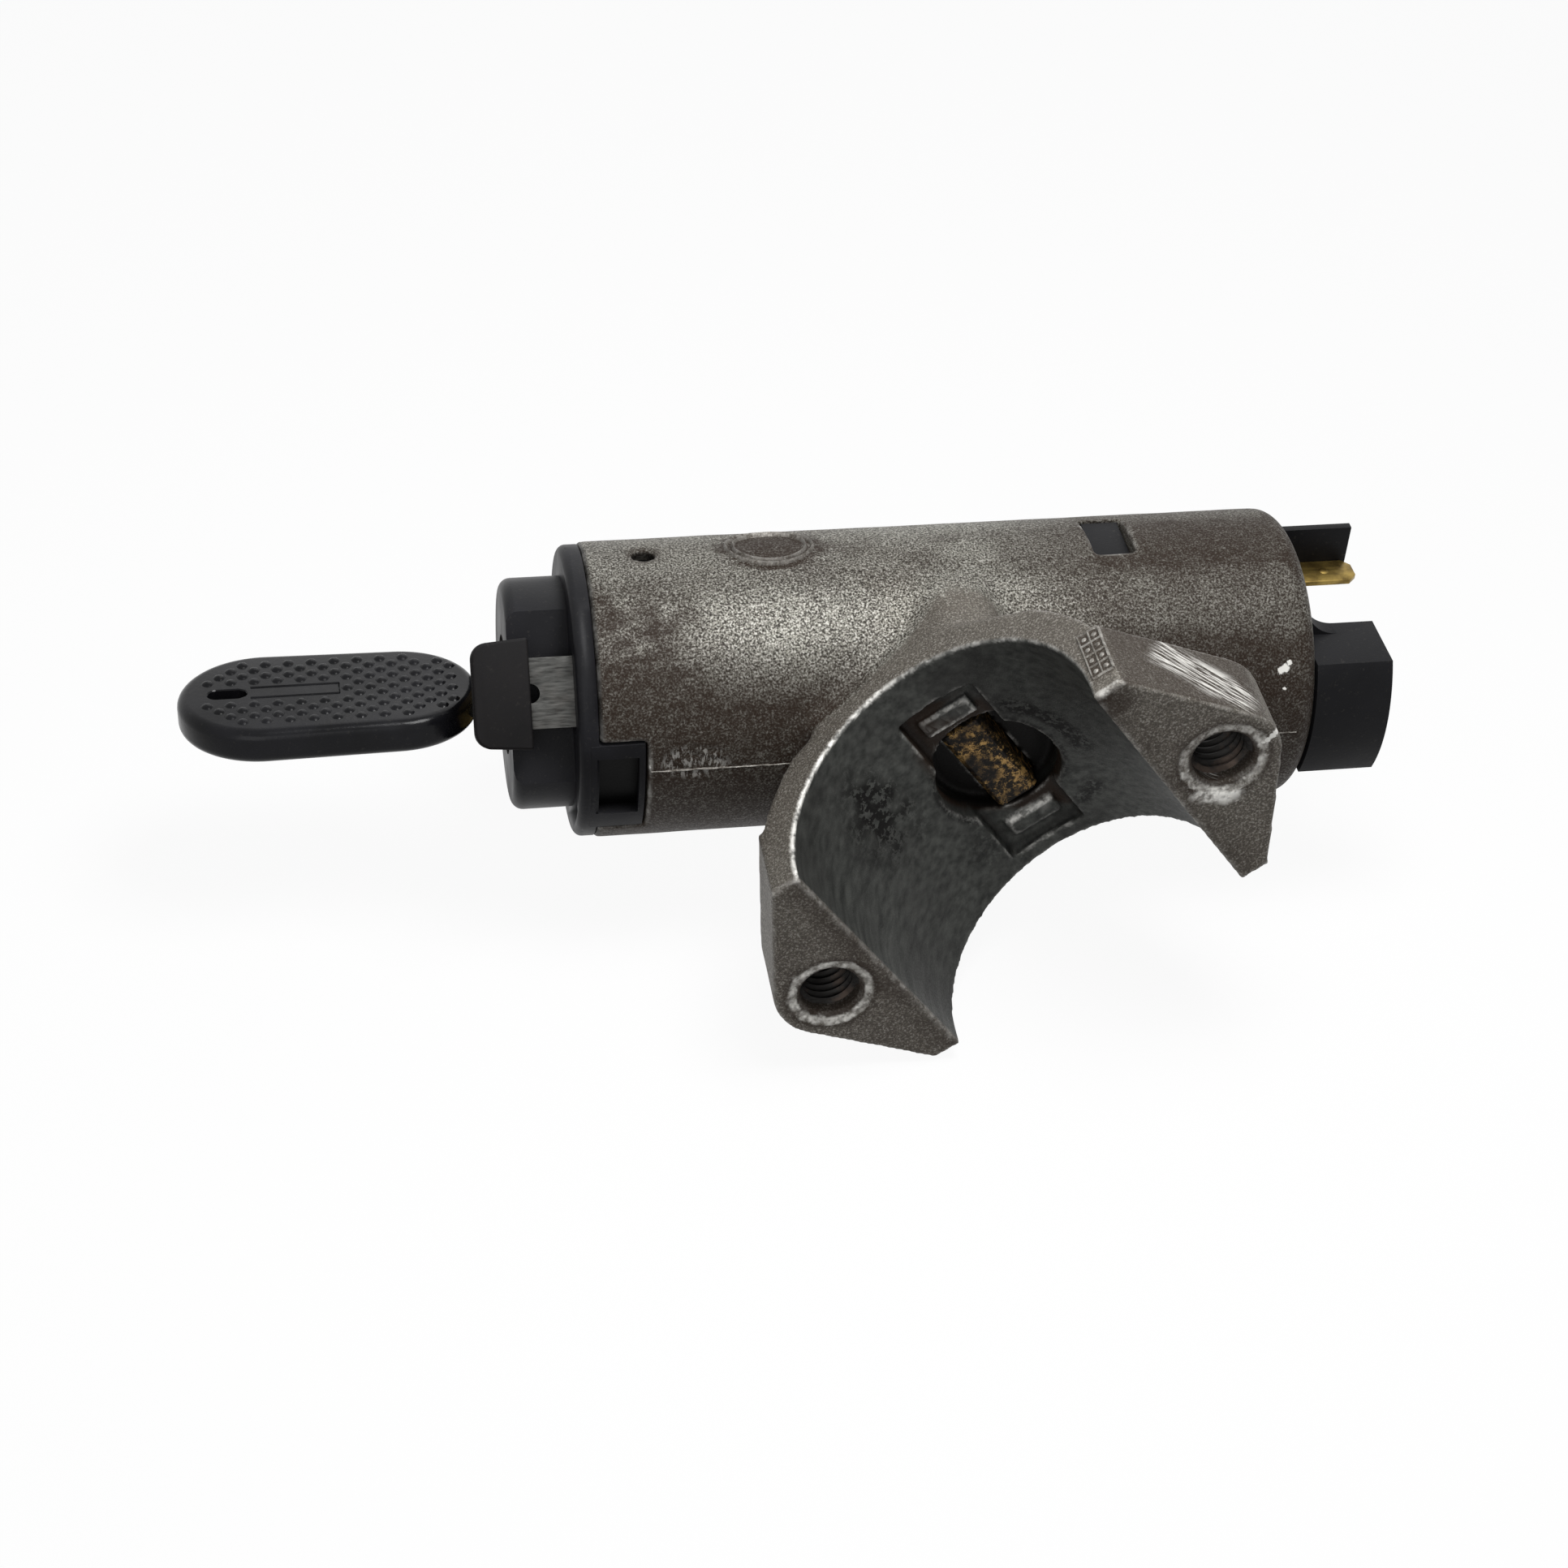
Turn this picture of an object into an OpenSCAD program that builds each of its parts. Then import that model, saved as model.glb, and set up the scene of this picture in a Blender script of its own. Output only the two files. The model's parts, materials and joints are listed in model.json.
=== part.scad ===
// Steering-column ignition switch: cast housing, key lock, steering bolt and rotary contacts.
// The origin is on the steering-column axis, at the middle of the saddle.
// +X runs along the barrel from the key to the contacts, -Y is the open side of the saddle, +Z is up.
// An angle round the barrel is 0 where it faces -Y and 90 where it faces up.

/* [Column saddle] */
// Diameter of the steering column
column_d = 44; // [40:0.5:48]
// Length of the saddle along the column
saddle_len = 40; // [36:1:46]
// Wall of the half ring round the column
saddle_wall = 5.2; // [4.5:0.1:6.5]
// Slope of the column against the barrel
column_angle = 53.13; // [45:1:60]
// Distance between the two clamp bolts
bolt_spacing = 60; // [58:1:66]
// Diameter of the threaded clamp bolt holes
bolt_hole_d = 8; // [6:0.5:9]
// Diameter of the round boss at each bolt hole
ear_boss_d = 15.2; // [14:0.2:18]
// Thickness of the bolt ears
ear_t = 11.8; // [10:0.1:13]
// How far the ears reach past the column axis
ear_drop = 1.8; // [0.5:0.1:3]
// Width of the neck between saddle and barrel
neck_w = 24.8; // [20:0.2:28]

/* [Barrel] */
// Outer diameter of the barrel
barrel_d = 40.5; // [39.5:0.5:44]
// Wall of the barrel
barrel_wall = 3.25; // [2.75:0.25:3.75]
// Length of the barrel on the key side of the column
front_len = 52; // [51:0.2:58]
// Length of the barrel on the contact side of the column
rear_len = 46.3; // [44:0.1:52]

/* [Steering bolt] */
// Thickness of the steering bolt
bolt_t = 6.3; // [5:0.1:6.8]
// Width of the steering bolt along the column
bolt_w = 15.6; // [13:0.2:16]
// Travel of the steering bolt
bolt_travel = 7; // [4:0.1:7.4]
// Depth of the resting bolt tip below the saddle floor
bolt_sink = 1.4; // [1:0.1:3]

/* [Front cap] */
// Thickness of the cap flange
flange_t = 2.6; // [2:0.1:4]
// Diameter of the raised boss round the keyhole
boss_d = 31.6; // [28:0.2:33]
// Length of the raised boss
boss_len = 8.2; // [6:0.1:10]
// Angle that the flat on the boss faces
flat_angle = 35; // [30:1:42]

/* [Key and lock] */
// Diameter of the lock plug
plug_d = 15.4; // [15:0.1:16]
// Angle that the edge of the key blade faces
key_angle = 10.5; // [0:0.5:30]
// Width of the key blade
blade_w = 8.4; // [7:0.1:8.6]
// Thickness of the key blade
blade_t = 2.2; // [1.8:0.1:2.4]
// Length of the key bow
bow_len = 40.1; // [34:0.1:46]
// Width of the key bow
bow_w = 23; // [19:0.5:25]
// Thickness of the key bow
bow_t = 4.9; // [4.2:0.1:6]
// Number of wafers in the plug
wafer_count = 6; // [4:1:6]

/* [Release lever] */
// Angle round the barrel where the release lever lies
release_angle = 38; // [36:1:46]
// Width of the release lever
lever_w = 9.4; // [8:0.1:9.8]
// Thickness of the release lever
lever_t = 1.4; // [1:0.1:1.5]
// Width of the button on the lever
button_w = 14.8; // [12:0.1:15.4]
// Length of the button
button_len = 7.5; // [6:0.1:9]
// Thickness of the button
button_t = 4.2; // [3.4:0.1:5]

/* [Contact unit] */
// Length of the connector behind the barrel
connector_len = 10.7; // [9:0.1:14]
// Width of a terminal blade
tab_w = 4.8; // [4:0.1:5]
// Thickness of a terminal blade
tab_t = 0.8; // [0.6:0.1:1]

/* [Hidden] */
$fn = 64;

// Fits
run_gap = 0.05;
slip_gap = 0.2;
free_gap = 0.3;
cut = 1;

// Main radii and the barrel axis
column_r = column_d / 2;
barrel_r = barrel_d / 2;
bore_r = barrel_r - barrel_wall;
ear_root = column_r + saddle_wall - 1.2;
axis_y = column_r + barrel_r + 0.25;
floor_y = column_r - axis_y;

// Steering bolt and its carrier, measured from the barrel axis along Y
carrier_r = barrel_r * 0.469;
chamber_r = carrier_r + 0.1;
cover_t = 2.9;
cover_back = sqrt(pow(barrel_r, 2) - pow(chamber_r, 2)) - 0.4;
cover_front = cover_back - cover_t;
carrier_back = cover_front - 1;
carrier_room = carrier_back - bolt_travel - free_gap;
shaft_r = carrier_room * 0.56;
carrier_wall = carrier_room - shaft_r;
window_half = shaft_r + free_gap;
window_back = window_half + bolt_travel;
carrier_front = -window_half - carrier_wall;
chamber_front = carrier_front - bolt_travel - slip_gap;
collar_r = 6;
shaft_tang = shaft_r - 0.5;
shaft_tang_len = 5.6;
carrier_spring_z = (window_half + carrier_r) / 2;
carrier_spring_r = 1.2;
carrier_spring_wire = 0.5;
bolt_pin_r = 0.8;
bolt_pin_reach = 4;
bolt_mouth_d = sqrt(pow(bolt_t, 2) + pow(bolt_w, 2)) + 0.4;
bolt_guide_t = 2.4;
mouth_z = -2;
mouth_depth = 1.35;
mouth_reach = 7.5;
well_shift = 0.8;
web_wall = 4.3;
web_half = chamber_r + web_wall;

// Lock
plug_r = plug_d / 2;
cap_front = front_len + flange_t;
boss_front = cap_front + boss_len;
boss_r = boss_d / 2;
boss_flat = boss_r * 0.684;
plug_front = boss_front - 1;
sleeve_back = web_half + 2.4;
sleeve_front = front_len - slip_gap;
clip_t = 0.9;
clip_groove_r = plug_r - 1.2;
plug_back = web_half + free_gap;
wafer_t = 1;
wafer_pitch = 3.2;
wafer_l = 2 * plug_r - 1.2;
wafer_w = 5.6;
wafer_first = -(front_len - 3.2);
blade_tip = wafer_first + wafer_count * wafer_pitch;
wafer_spring_r = 0.55;
wafer_spring_len = 2.6;
tang_t = 2.8;
tang_w = 9;

// Release lever, measured from the barrel axis along its own direction
lever_in = bore_r - 3;
lever_out = lever_in + lever_t;
lever_pivot_set = 7.2;
lever_tail = 7;
lever_pivot_x = -(front_len - lever_pivot_set);
lever_pivot_rho = lever_in - 1.3;
lever_pin_r = 1;
lever_back = lever_pivot_x + lever_tail;
lever_channel = lever_pivot_rho - 1.8;
button_set = 5.8;
button_back = -(cap_front + button_set);
button_front = button_back - button_len;
button_in = lever_in - 1.1;
button_cover = 2;

// Contact unit
switch_r = bore_r - slip_gap;
switch_front = web_half + slip_gap;
rotor_r = switch_r * 0.595;
rotor_front = switch_front + 1.2;
rotor_len = 12.6;
rotor_back = rotor_front + rotor_len;
spigot_r = 2.5;
spigot_len = 5.6;
detent_len = 4;
detent_ball_r = 1.5;
detent_floor = 1;
bridge_front = rotor_back + 2;
bridge_t = 0.8;
contact_face = bridge_front + bridge_t + free_gap;
chamber_floor = contact_face + 0.9;
contact_r = rotor_r * 0.18;
contact_ring = rotor_r * 0.68;
contact_seat = 2;
hub_r = contact_ring - 2;
contact_angles = [60, 150, 240, 330];
connector_back = rear_len + connector_len;
connector_r = barrel_r - 0.95;
tab_back = connector_back + 1.7;

// A cylinder along X from x0 to x1
module x_rod(x0, x1, r) {
    translate([x0, 0, 0]) rotate([0, 90, 0]) cylinder(h = x1 - x0, r = r);
}

// A cylinder along Y from y0 to y1
module y_rod(y0, y1, r) {
    translate([0, y0, 0]) rotate([-90, 0, 0]) cylinder(h = y1 - y0, r = r);
}

// A cylinder along Z, centred
module z_rod(len, r) {
    cylinder(h = len, r = r, center = true);
}

// A block from x0 to x1 and from y0 to y1, centred on Z
module bar(x0, x1, y0, y1, w) {
    translate([x0, y0, -w / 2]) cube([x1 - x0, y1 - y0, w]);
}

// Puts children on the barrel axis
module on_axis() {
    translate([0, axis_y, 0]) children();
}

// Puts children on the barrel axis with their -Y side turned to an angle
module facing(angle) {
    on_axis() rotate([-angle, 0, 0]) children();
}

// A block that faces an angle, between two distances from the barrel axis
module slab(x0, x1, rho0, rho1, w) {
    bar(x0, x1, -rho1, -rho0, w);
}

// Puts children in the saddle's frame: Z along the column, X across it
module in_saddle() {
    rotate([0, column_angle - 90, 0]) children();
}

// Puts children in the saddle's frame at the middle of the bolt's mouth
module in_mouth() {
    in_saddle() translate([0, 0, mouth_z]) children();
}

// Cylindrical spring along Z from 0 to len, as a swept round wire
module coil(r, wire, len, turns) {
    sides = 6;
    per_turn = 12;
    steps = turns * per_turn;
    rise = (len - wire) / steps;
    points = [for (i = [0 : steps]) for (j = [0 : sides - 1])
        let (a = 360 * i / per_turn, b = 360 * j / sides, q = r - wire / 2 + wire / 2 * cos(b))
        [q * cos(a), q * sin(a), wire / 2 + rise * i + wire / 2 * sin(b)]];
    skin = [for (i = [0 : steps - 1]) for (j = [0 : sides - 1])
        let (k = (j + 1) % sides)
        [i * sides + j, (i + 1) * sides + j, (i + 1) * sides + k, i * sides + k]];
    start = [for (j = [0 : sides - 1]) j];
    end = [for (j = [sides - 1 : -1 : 0]) steps * sides + j];
    polyhedron(points, concat([start, end], skin), convexity = 8);
}

// Outline of one ear: straight sides from the ring to the round boss at the bolt hole
module ear_outline() {
    half = saddle_len / 2;
    middle = bolt_spacing / 2;
    reach = sqrt(pow(half, 2) + pow(middle - ear_root, 2));
    turn = atan2(middle - ear_root, half) + asin(ear_boss_d / 2 / reach);
    side = reach * cos(asin(ear_boss_d / 2 / reach));
    tangent = [ear_root + side * sin(turn), half - side * cos(turn)];
    polygon([[0, half], [ear_root, half], tangent, [middle, 0], [tangent[0], -tangent[1]],
        [ear_root, -half], [0, -half]]);
    translate([middle, 0]) circle(d = ear_boss_d);
}

// Outline of the neck, a rectangle with round corners
module neck_outline() {
    corner = 5;
    x = neck_w / 2;
    y = saddle_len / 2 - 0.6;
    square([2 * x - 2 * corner, 2 * y], center = true);
    square([2 * x, 2 * y - 2 * corner], center = true);
    for (sx = [-1, 1], sy = [-1, 1]) translate([sx * (x - corner), sy * (y - corner)]) circle(corner);
}

// The barrel's solid form, with a rounded rim at the contact end
module barrel_form() {
    rim = 2.6;
    lip = 0.4;
    on_axis() rotate([0, 90, 0]) rotate_extrude() {
        translate([0, -front_len + lip]) square([barrel_r, front_len + rear_len - lip - rim]);
        translate([0, -front_len]) square([barrel_r - lip, lip + rim]);
        translate([0, rear_len - rim - cut]) square([barrel_r - rim, rim + cut]);
        translate([barrel_r - rim, rear_len - rim]) circle(rim);
    }
}

// Half ring, ears and neck of the saddle
module saddle_form() {
    in_saddle() {
        intersection() {
            cylinder(h = saddle_len, r = column_r + saddle_wall, center = true);
            translate([-ear_root, -ear_drop, -saddle_len]) cube([2 * ear_root, barrel_d * 2, saddle_len * 2]);
        }
        for (side = [0, 180]) rotate([0, side, 0]) rotate([-90, 0, 0])
            translate([0, 0, -ear_drop]) linear_extrude(ear_t) ear_outline();
    }
    intersection() {
        in_saddle() translate([0, column_r, 0]) rotate([-90, 0, 0])
            linear_extrude(barrel_r - 4) neck_outline();
        cube([barrel_d * 4, barrel_d * 4, barrel_d - 0.6], center = true);
    }
}

// Clamp bolt holes with a spot face and a chamfered rim
module clamp_holes() {
    rim = 0.45;
    spot_r = bolt_hole_d / 2 + 1.75;
    for (side = [-1, 1]) in_saddle() translate([side * bolt_spacing / 2, -ear_drop, 0]) {
        y_rod(-cut, ear_t + cut, bolt_hole_d / 2);
        y_rod(-cut, 0.25, spot_r);
        translate([0, 0.25, 0]) rotate([-90, 0, 0])
            cylinder(h = rim, r1 = bolt_hole_d / 2 + rim, r2 = bolt_hole_d / 2);
    }
}

// Mouth of the steering bolt: recess with a raised pad at each end, round well and guide
module bolt_mouth() {
    slot_w = bolt_t + 5.3;
    slot_end = bolt_w / 2 + mouth_reach;
    pad_w = bolt_t + 1.4;
    pad_start = bolt_w / 2 + 2.1;
    pad_len = 3.2;
    pad_sink = 0.35;
    on_axis() in_mouth() {
        difference() {
            bar(-slot_w / 2, slot_w / 2, floor_y - 3 * cut, floor_y + mouth_depth, 2 * slot_end);
            for (side = [-1, 1]) translate([0, 0, side * (pad_start + pad_len / 2)])
                bar(-pad_w / 2, pad_w / 2, floor_y + pad_sink, floor_y + 2 * mouth_depth, pad_len);
        }
        translate([well_shift, 0, 0])
            y_rod(floor_y - 2 * cut, chamber_front - bolt_guide_t, bolt_mouth_d / 2);
        bar(-bolt_t / 2 - slip_gap, bolt_t / 2 + slip_gap, floor_y - cut, carrier_front + slip_gap,
            bolt_w + 2 * slip_gap);
    }
}

latch_angle = -6.5;
latch_w = 16;
latch_len = 6.4;
window_x = web_half + 3.6;
window_len = 5.7;
window_w = 9.4;
window_shift = 2.8;
pin_set = 8.2;
pin_x = -(front_len - pin_set);
pin_angle = 99;
pin_r = 1.5;
pin_sink = 1.6;

module housing() color("#8a867e") difference() {
    union() {
        barrel_form();
        saddle_form();
    }
    in_saddle() {
        cylinder(h = saddle_len * 3, r = column_r, center = true);
        translate([0, -ear_drop, 0]) cube([column_d, 2 * ear_drop, saddle_len * 3], center = true);
    }
    clamp_holes();
    bolt_mouth();
    on_axis() {
        x_rod(-front_len - cut, -web_half, bore_r);
        x_rod(web_half, rear_len + cut, bore_r);
        y_rod(chamber_front, barrel_d, chamber_r);
        x_rod(-web_half - cut, 0, collar_r + run_gap);
        x_rod(0, web_half + cut, shaft_r + run_gap);
        translate([window_x, window_shift - window_w / 2, bore_r * 0.8])
            cube([window_len, window_w, barrel_r]);
    }
    facing(latch_angle) slab(-front_len - cut, -front_len + latch_len, bore_r * 0.8, barrel_r + cut, latch_w);
    facing(pin_angle) translate([pin_x, 0, 0]) y_rod(-barrel_r - cut, -bore_r + cut, pin_r + run_gap);
}

module front_cap() color("#26262a") {
    latch_in = bore_r + slip_gap;
    latch_out = barrel_r - slip_gap;
    tongue_w = latch_w - 2 * free_gap;
    difference() {
        on_axis() rotate([0, 90, 0]) rotate_extrude() {
            edge = 1.6;
            rim = flange_t * 0.44;
            flange_r = barrel_r - 0.3;
            translate([0, -cap_front]) square([flange_r - rim, flange_t]);
            translate([0, -cap_front + rim]) square([flange_r, flange_t - rim]);
            translate([flange_r - rim, -cap_front + rim]) circle(rim);
            translate([0, -boss_front]) square([boss_r - edge, boss_len + cut]);
            translate([0, -boss_front + edge]) square([boss_r, boss_len - edge + cut]);
            translate([boss_r - edge, -boss_front + edge]) circle(edge);
        }
        on_axis() x_rod(-boss_front - cut, -front_len + cut, plug_r + 0.5);
        facing(flat_angle) slab(-boss_front - cut, -cap_front, boss_flat, boss_d, boss_d * 2);
        facing(release_angle)
            slab(-boss_front, -front_len + cut, lever_in - 1, lever_out + 0.4, lever_w + 2 * free_gap);
    }
    difference() {
        on_axis() x_rod(-front_len - cut, -front_len + latch_len - free_gap, latch_out);
        on_axis() x_rod(-front_len - 2 * cut, 0, latch_in);
        facing(latch_angle) {
            side = (barrel_d * 2 - tongue_w) / 2;
            for (s = [-1, 1]) translate([0, 0, s * (tongue_w + side) / 2])
                slab(-cap_front, 0, -barrel_d, barrel_d, side);
            slab(-cap_front, 0, -barrel_d, 0, tongue_w + cut);
            translate([0, 0, 1]) slab(-front_len - 0.3, -front_len + latch_len - 1.1, latch_in + 0.7, barrel_d,
                tongue_w - 5.6);
        }
    }
}

module cylinder_sleeve() color("#9a948a") difference() {
    on_axis() x_rod(-sleeve_front, -sleeve_back, bore_r - slip_gap);
    on_axis() x_rod(-front_len, 0, plug_r + run_gap);
    facing(key_angle) translate([wafer_first - 1, 0, 0])
        bar(0, wafer_count * wafer_pitch, -wafer_l / 2 - 1.6, wafer_l / 2 + 1.6, wafer_w + 0.6);
    facing(release_angle) {
        slab(-front_len, lever_back + 0.6, lever_channel, barrel_r, lever_w + 2 * free_gap);
        translate([lever_pivot_x, -lever_pivot_rho, 0]) z_rod(lever_w + 4.4, lever_pin_r);
    }
    facing(pin_angle) translate([pin_x, 0, 0]) y_rod(-bore_r - cut, -bore_r + 4, pin_r + run_gap);
}

module sleeve_pin() color("#77777a")
    facing(pin_angle) translate([pin_x, 0, 0]) y_rod(-barrel_r + pin_sink, -bore_r + 4, pin_r);

module lever_pin() color("#8c8c8e")
    facing(release_angle) translate([lever_pivot_x, -lever_pivot_rho, 0]) z_rod(lever_w + 4.4, lever_pin_r);

module lever_spring() color("#9c9ca0")
    facing(release_angle) translate([lever_pivot_x - 4.4, -lever_channel, 0]) rotate([90, 0, 0])
        coil(1.5, 0.4, lever_in - lever_channel - 0.5, 3);

module spring_cover() color("#8f8b84") on_axis() difference() {
    y_rod(cover_front, cover_back, chamber_r);
    y_rod(cover_back - 0.5, cover_back + cut, chamber_r - 2.2);
}

module bolt_springs() color("#9c9ca0")
    on_axis() for (side = [-1, 1]) translate([0, -window_half + 0.3, side * carrier_spring_z])
        rotate([-90, 0, 0]) coil(carrier_spring_r, carrier_spring_wire, cover_front + window_half - 0.3, 8);

back_boss_r = 8.5;
back_boss_len = 2.4;
socket_in = 1.9;
connector_top = 10;
connector_foot = -8;
connector_inner = 7.4;
divider_t = 1.1;
divider_h = 10;
divider_reach = 2.2;
upper_tab_z = switch_r * 0.512;
lower_tab_z = switch_r * 0.345;
lower_tab_y = sqrt(pow(switch_r - 0.9, 2) - pow(lower_tab_z + tab_t / 2, 2)) - tab_w / 2;
divider_y = lower_tab_y - tab_w / 2 - free_gap - divider_t;
upper_tab_y = divider_y - tab_w / 2;
web_r = 5;
web_t = 2.4;
socket_tab_y = connector_inner + socket_in + 1;
socket_tabs = [-2.7, 4.5];

module switch_body() color("#2a2a2c") on_axis() difference() {
    union() {
        x_rod(switch_front, rear_len, switch_r);
        x_rod(rear_len - cut, rear_len + back_boss_len, back_boss_r);
        intersection() {
            union() {
                x_rod(rear_len - cut, rear_len, switch_r);
                x_rod(rear_len, connector_back + 3, connector_r);
            }
            union() {
                translate([rear_len - cut, -barrel_r, connector_foot])
                    cube([connector_len + cut, barrel_r - connector_inner, connector_top - connector_foot]);
                translate([rear_len - cut, divider_y, upper_tab_z - 4])
                    cube([connector_len + divider_reach, divider_t, divider_h]);
            }
        }
        translate([0, -connector_inner, 0]) rotate([90, 0, 0]) linear_extrude(web_t) difference() {
            translate([rear_len - cut, connector_top - cut]) square(web_r + cut);
            translate([rear_len + web_r, connector_top + web_r]) circle(web_r);
        }
        translate([window_x + free_gap, window_shift - window_w / 2 + free_gap, bore_r - 3])
            cube([window_len - 2 * free_gap, window_w - 2 * free_gap, 3 + barrel_wall * 0.45]);
    }
    x_rod(switch_front - cut, chamber_floor, rotor_r + free_gap);
    x_rod(chamber_floor - cut, chamber_floor + spigot_len + 0.4, spigot_r + run_gap);
    translate([rear_len + 2, -connector_r + socket_in, connector_foot + socket_in])
        cube([connector_len, connector_r - connector_inner - 2 * socket_in,
            connector_top - connector_foot - 2 * socket_in]);
    for (a = contact_angles) rotate([-a, 0, 0]) translate([0, -contact_ring, 0])
        x_rod(chamber_floor - cut, chamber_floor + contact_seat, contact_r);
    terminals();
    rotate([90, 0, 0]) translate([(rotor_front + rotor_back) / 2, -rotor_r, 0])
        y_rod(-switch_r + rotor_r + detent_floor, 2, 1.6);
}

// The terminal blades as they run through the contact unit
module terminals() {
    start = chamber_floor + contact_seat;
    tip = 1.2;
    for (place = [[upper_tab_y, upper_tab_z], [lower_tab_y, lower_tab_z]])
        translate([start, place[0], place[1] - tab_t / 2]) linear_extrude(tab_t)
            polygon([[0, -tab_w / 2], [tab_back - start - tip, -tab_w / 2], [tab_back - start, -tab_w / 2 + tip],
                [tab_back - start, tab_w / 2 - tip], [tab_back - start - tip, tab_w / 2], [0, tab_w / 2]]);
    for (z = socket_tabs) translate([start, -socket_tab_y - tab_t / 2, z - tab_w / 2])
        cube([connector_back - 1.6 - start, tab_t, tab_w]);
}

module terminal_blades() color("#a08a4c") on_axis() terminals();

module fixed_contacts() color("#b08d4a") on_axis()
    for (a = contact_angles) rotate([-a, 0, 0]) translate([0, -contact_ring, 0])
        x_rod(contact_face, chamber_floor + contact_seat, contact_r);

module detent_ball() color("#b5b5b8") on_axis()
    translate([(rotor_front + rotor_back) / 2, 0, -rotor_r - detent_ball_r - 0.05]) sphere(detent_ball_r);

module detent_spring() color("#9c9ca0") on_axis()
    translate([(rotor_front + rotor_back) / 2, 0, -switch_r + detent_floor + 0.05])
        coil(1.4, 0.4, switch_r - rotor_r - detent_floor - 2 * detent_ball_r - 0.2, 3);

module lock_plug() color("#b39a56") facing(key_angle) difference() {
    union() {
        x_rod(-plug_front, -plug_back, plug_r);
        bar(-plug_back - cut, -chamber_r - 1, -tang_w / 2, tang_w / 2, tang_t);
    }
    bar(-plug_front - cut, blade_tip + 1, -blade_w / 2 - slip_gap, blade_w / 2 + slip_gap, blade_t + 0.3);
    for (i = [0 : wafer_count - 1]) translate([wafer_first + i * wafer_pitch, 0, 0]) {
        bar(-0.05, wafer_t + 0.05, -plug_r - cut, plug_r + cut, wafer_w + 0.1);
        translate([wafer_t / 2, -wafer_spring_len / 2, wafer_w / 2 + 0.7])
            y_rod(-0.1, wafer_spring_len + 0.1, wafer_spring_r + 0.1);
    }
    difference() {
        x_rod(-sleeve_back + 0.1, -sleeve_back + 0.1 + clip_t, plug_r + cut);
        x_rod(-sleeve_back, -plug_back, clip_groove_r);
    }
}

module lock_wafers() color("#c2a862") facing(key_angle)
    for (i = [0 : wafer_count - 1]) translate([wafer_first + i * wafer_pitch, 0, 0]) difference() {
        bar(0, wafer_t, -wafer_l / 2, wafer_l / 2, wafer_w);
        bar(-cut, wafer_t + cut, -blade_w / 2 - free_gap, blade_w / 2 + free_gap, blade_t + 0.5);
    }

module wafer_springs() color("#9c9ca0") facing(key_angle)
    for (i = [0 : wafer_count - 1])
        translate([wafer_first + i * wafer_pitch + wafer_t / 2, -wafer_spring_len / 2, wafer_w / 2 + 0.7])
            rotate([-90, 0, 0]) coil(wafer_spring_r, 0.25, wafer_spring_len, 4);

module plug_clip() color("#77777a") facing(key_angle) difference() {
    x_rod(-sleeve_back + 0.1, -sleeve_back + 0.1 + clip_t, plug_r + 1.8);
    x_rod(-sleeve_back, -plug_back, clip_groove_r);
    bar(-sleeve_back, -plug_back, 0, barrel_r, 2 * clip_groove_r - 1.6);
}

module drive_shaft() color("#9a948a") facing(key_angle) difference() {
    union() {
        x_rod(-web_half + 0.1, -chamber_r - 0.1, collar_r);
        x_rod(-chamber_r - cut, switch_front + 0.6, shaft_r);
        bar(switch_front, rotor_front + shaft_tang_len, -shaft_tang, shaft_tang, tang_t);
    }
    bar(-web_half - cut, -chamber_r - 0.9, -tang_w, tang_w, tang_t + 0.1);
}

module contact_rotor() color("#b9b4a4") facing(key_angle) difference() {
    union() {
        x_rod(rotor_front, rotor_back, rotor_r);
        x_rod(rotor_back - cut, chamber_floor + spigot_len, spigot_r);
    }
    bar(rotor_front - cut, rotor_front + shaft_tang_len + 0.4, -shaft_tang - run_gap, shaft_tang + run_gap,
        tang_t + 0.1);
    for (a = [-30, 30]) rotate([a, 0, 0]) translate([(rotor_front + rotor_back) / 2, 0, -rotor_r - 0.9])
        rotate([0, 90, 0]) z_rod(detent_len, 1.6);
}

module contact_bridge() color("#b5793e") facing(key_angle) difference() {
    union() {
        x_rod(bridge_front, bridge_front + bridge_t, hub_r);
        bar(bridge_front, bridge_front + bridge_t, -contact_ring - contact_r, contact_ring + contact_r,
            2 * contact_r);
    }
    x_rod(bridge_front - cut, bridge_front + bridge_t + cut, spigot_r + run_gap);
}

module contact_spring() color("#9c9ca0") facing(key_angle) translate([rotor_back, 0, 0])
    rotate([0, 90, 0]) coil(spigot_r + 0.9, 0.5, bridge_front - rotor_back, 3);

bow_back = -plug_front - 4.7;
bow_front = bow_back - bow_len;
bow_edge = 1.5;
slot_r = 1.3;
slot_start = 5.4;
slot_end = 8;
blade_root = 16;
blade_start = bow_back - blade_root;

module key_blade() color("#b4b6b4") facing(key_angle) difference() {
    union() {
        bar(blade_start, blade_tip - 3, -blade_w / 2, blade_w / 2, blade_t);
        translate([blade_tip - 3 - run_gap, 0, -blade_t / 2]) linear_extrude(blade_t)
            polygon([[0, -blade_w / 2], [3, -blade_w / 5], [3, blade_w / 5], [0, blade_w / 2]]);
    }
    for (i = [0 : wafer_count - 1], side = [-1, 1]) {
        depth = 0.5 + 0.35 * ((i * 2 + side + 1) % 4);
        translate([wafer_first + i * wafer_pitch + wafer_t / 2, side * blade_w / 2, -blade_t])
            linear_extrude(2 * blade_t) polygon([[-1.4, side * cut], [-0.5, -side * depth],
                [0.5, -side * depth], [1.4, side * cut]]);
    }
    for (side = [-1, 1]) translate([0, side * 0.3, side * (blade_t / 2)])
        bar(-plug_front + 2, blade_tip + cut, -0.7, 0.7, 0.9);
}

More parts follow.
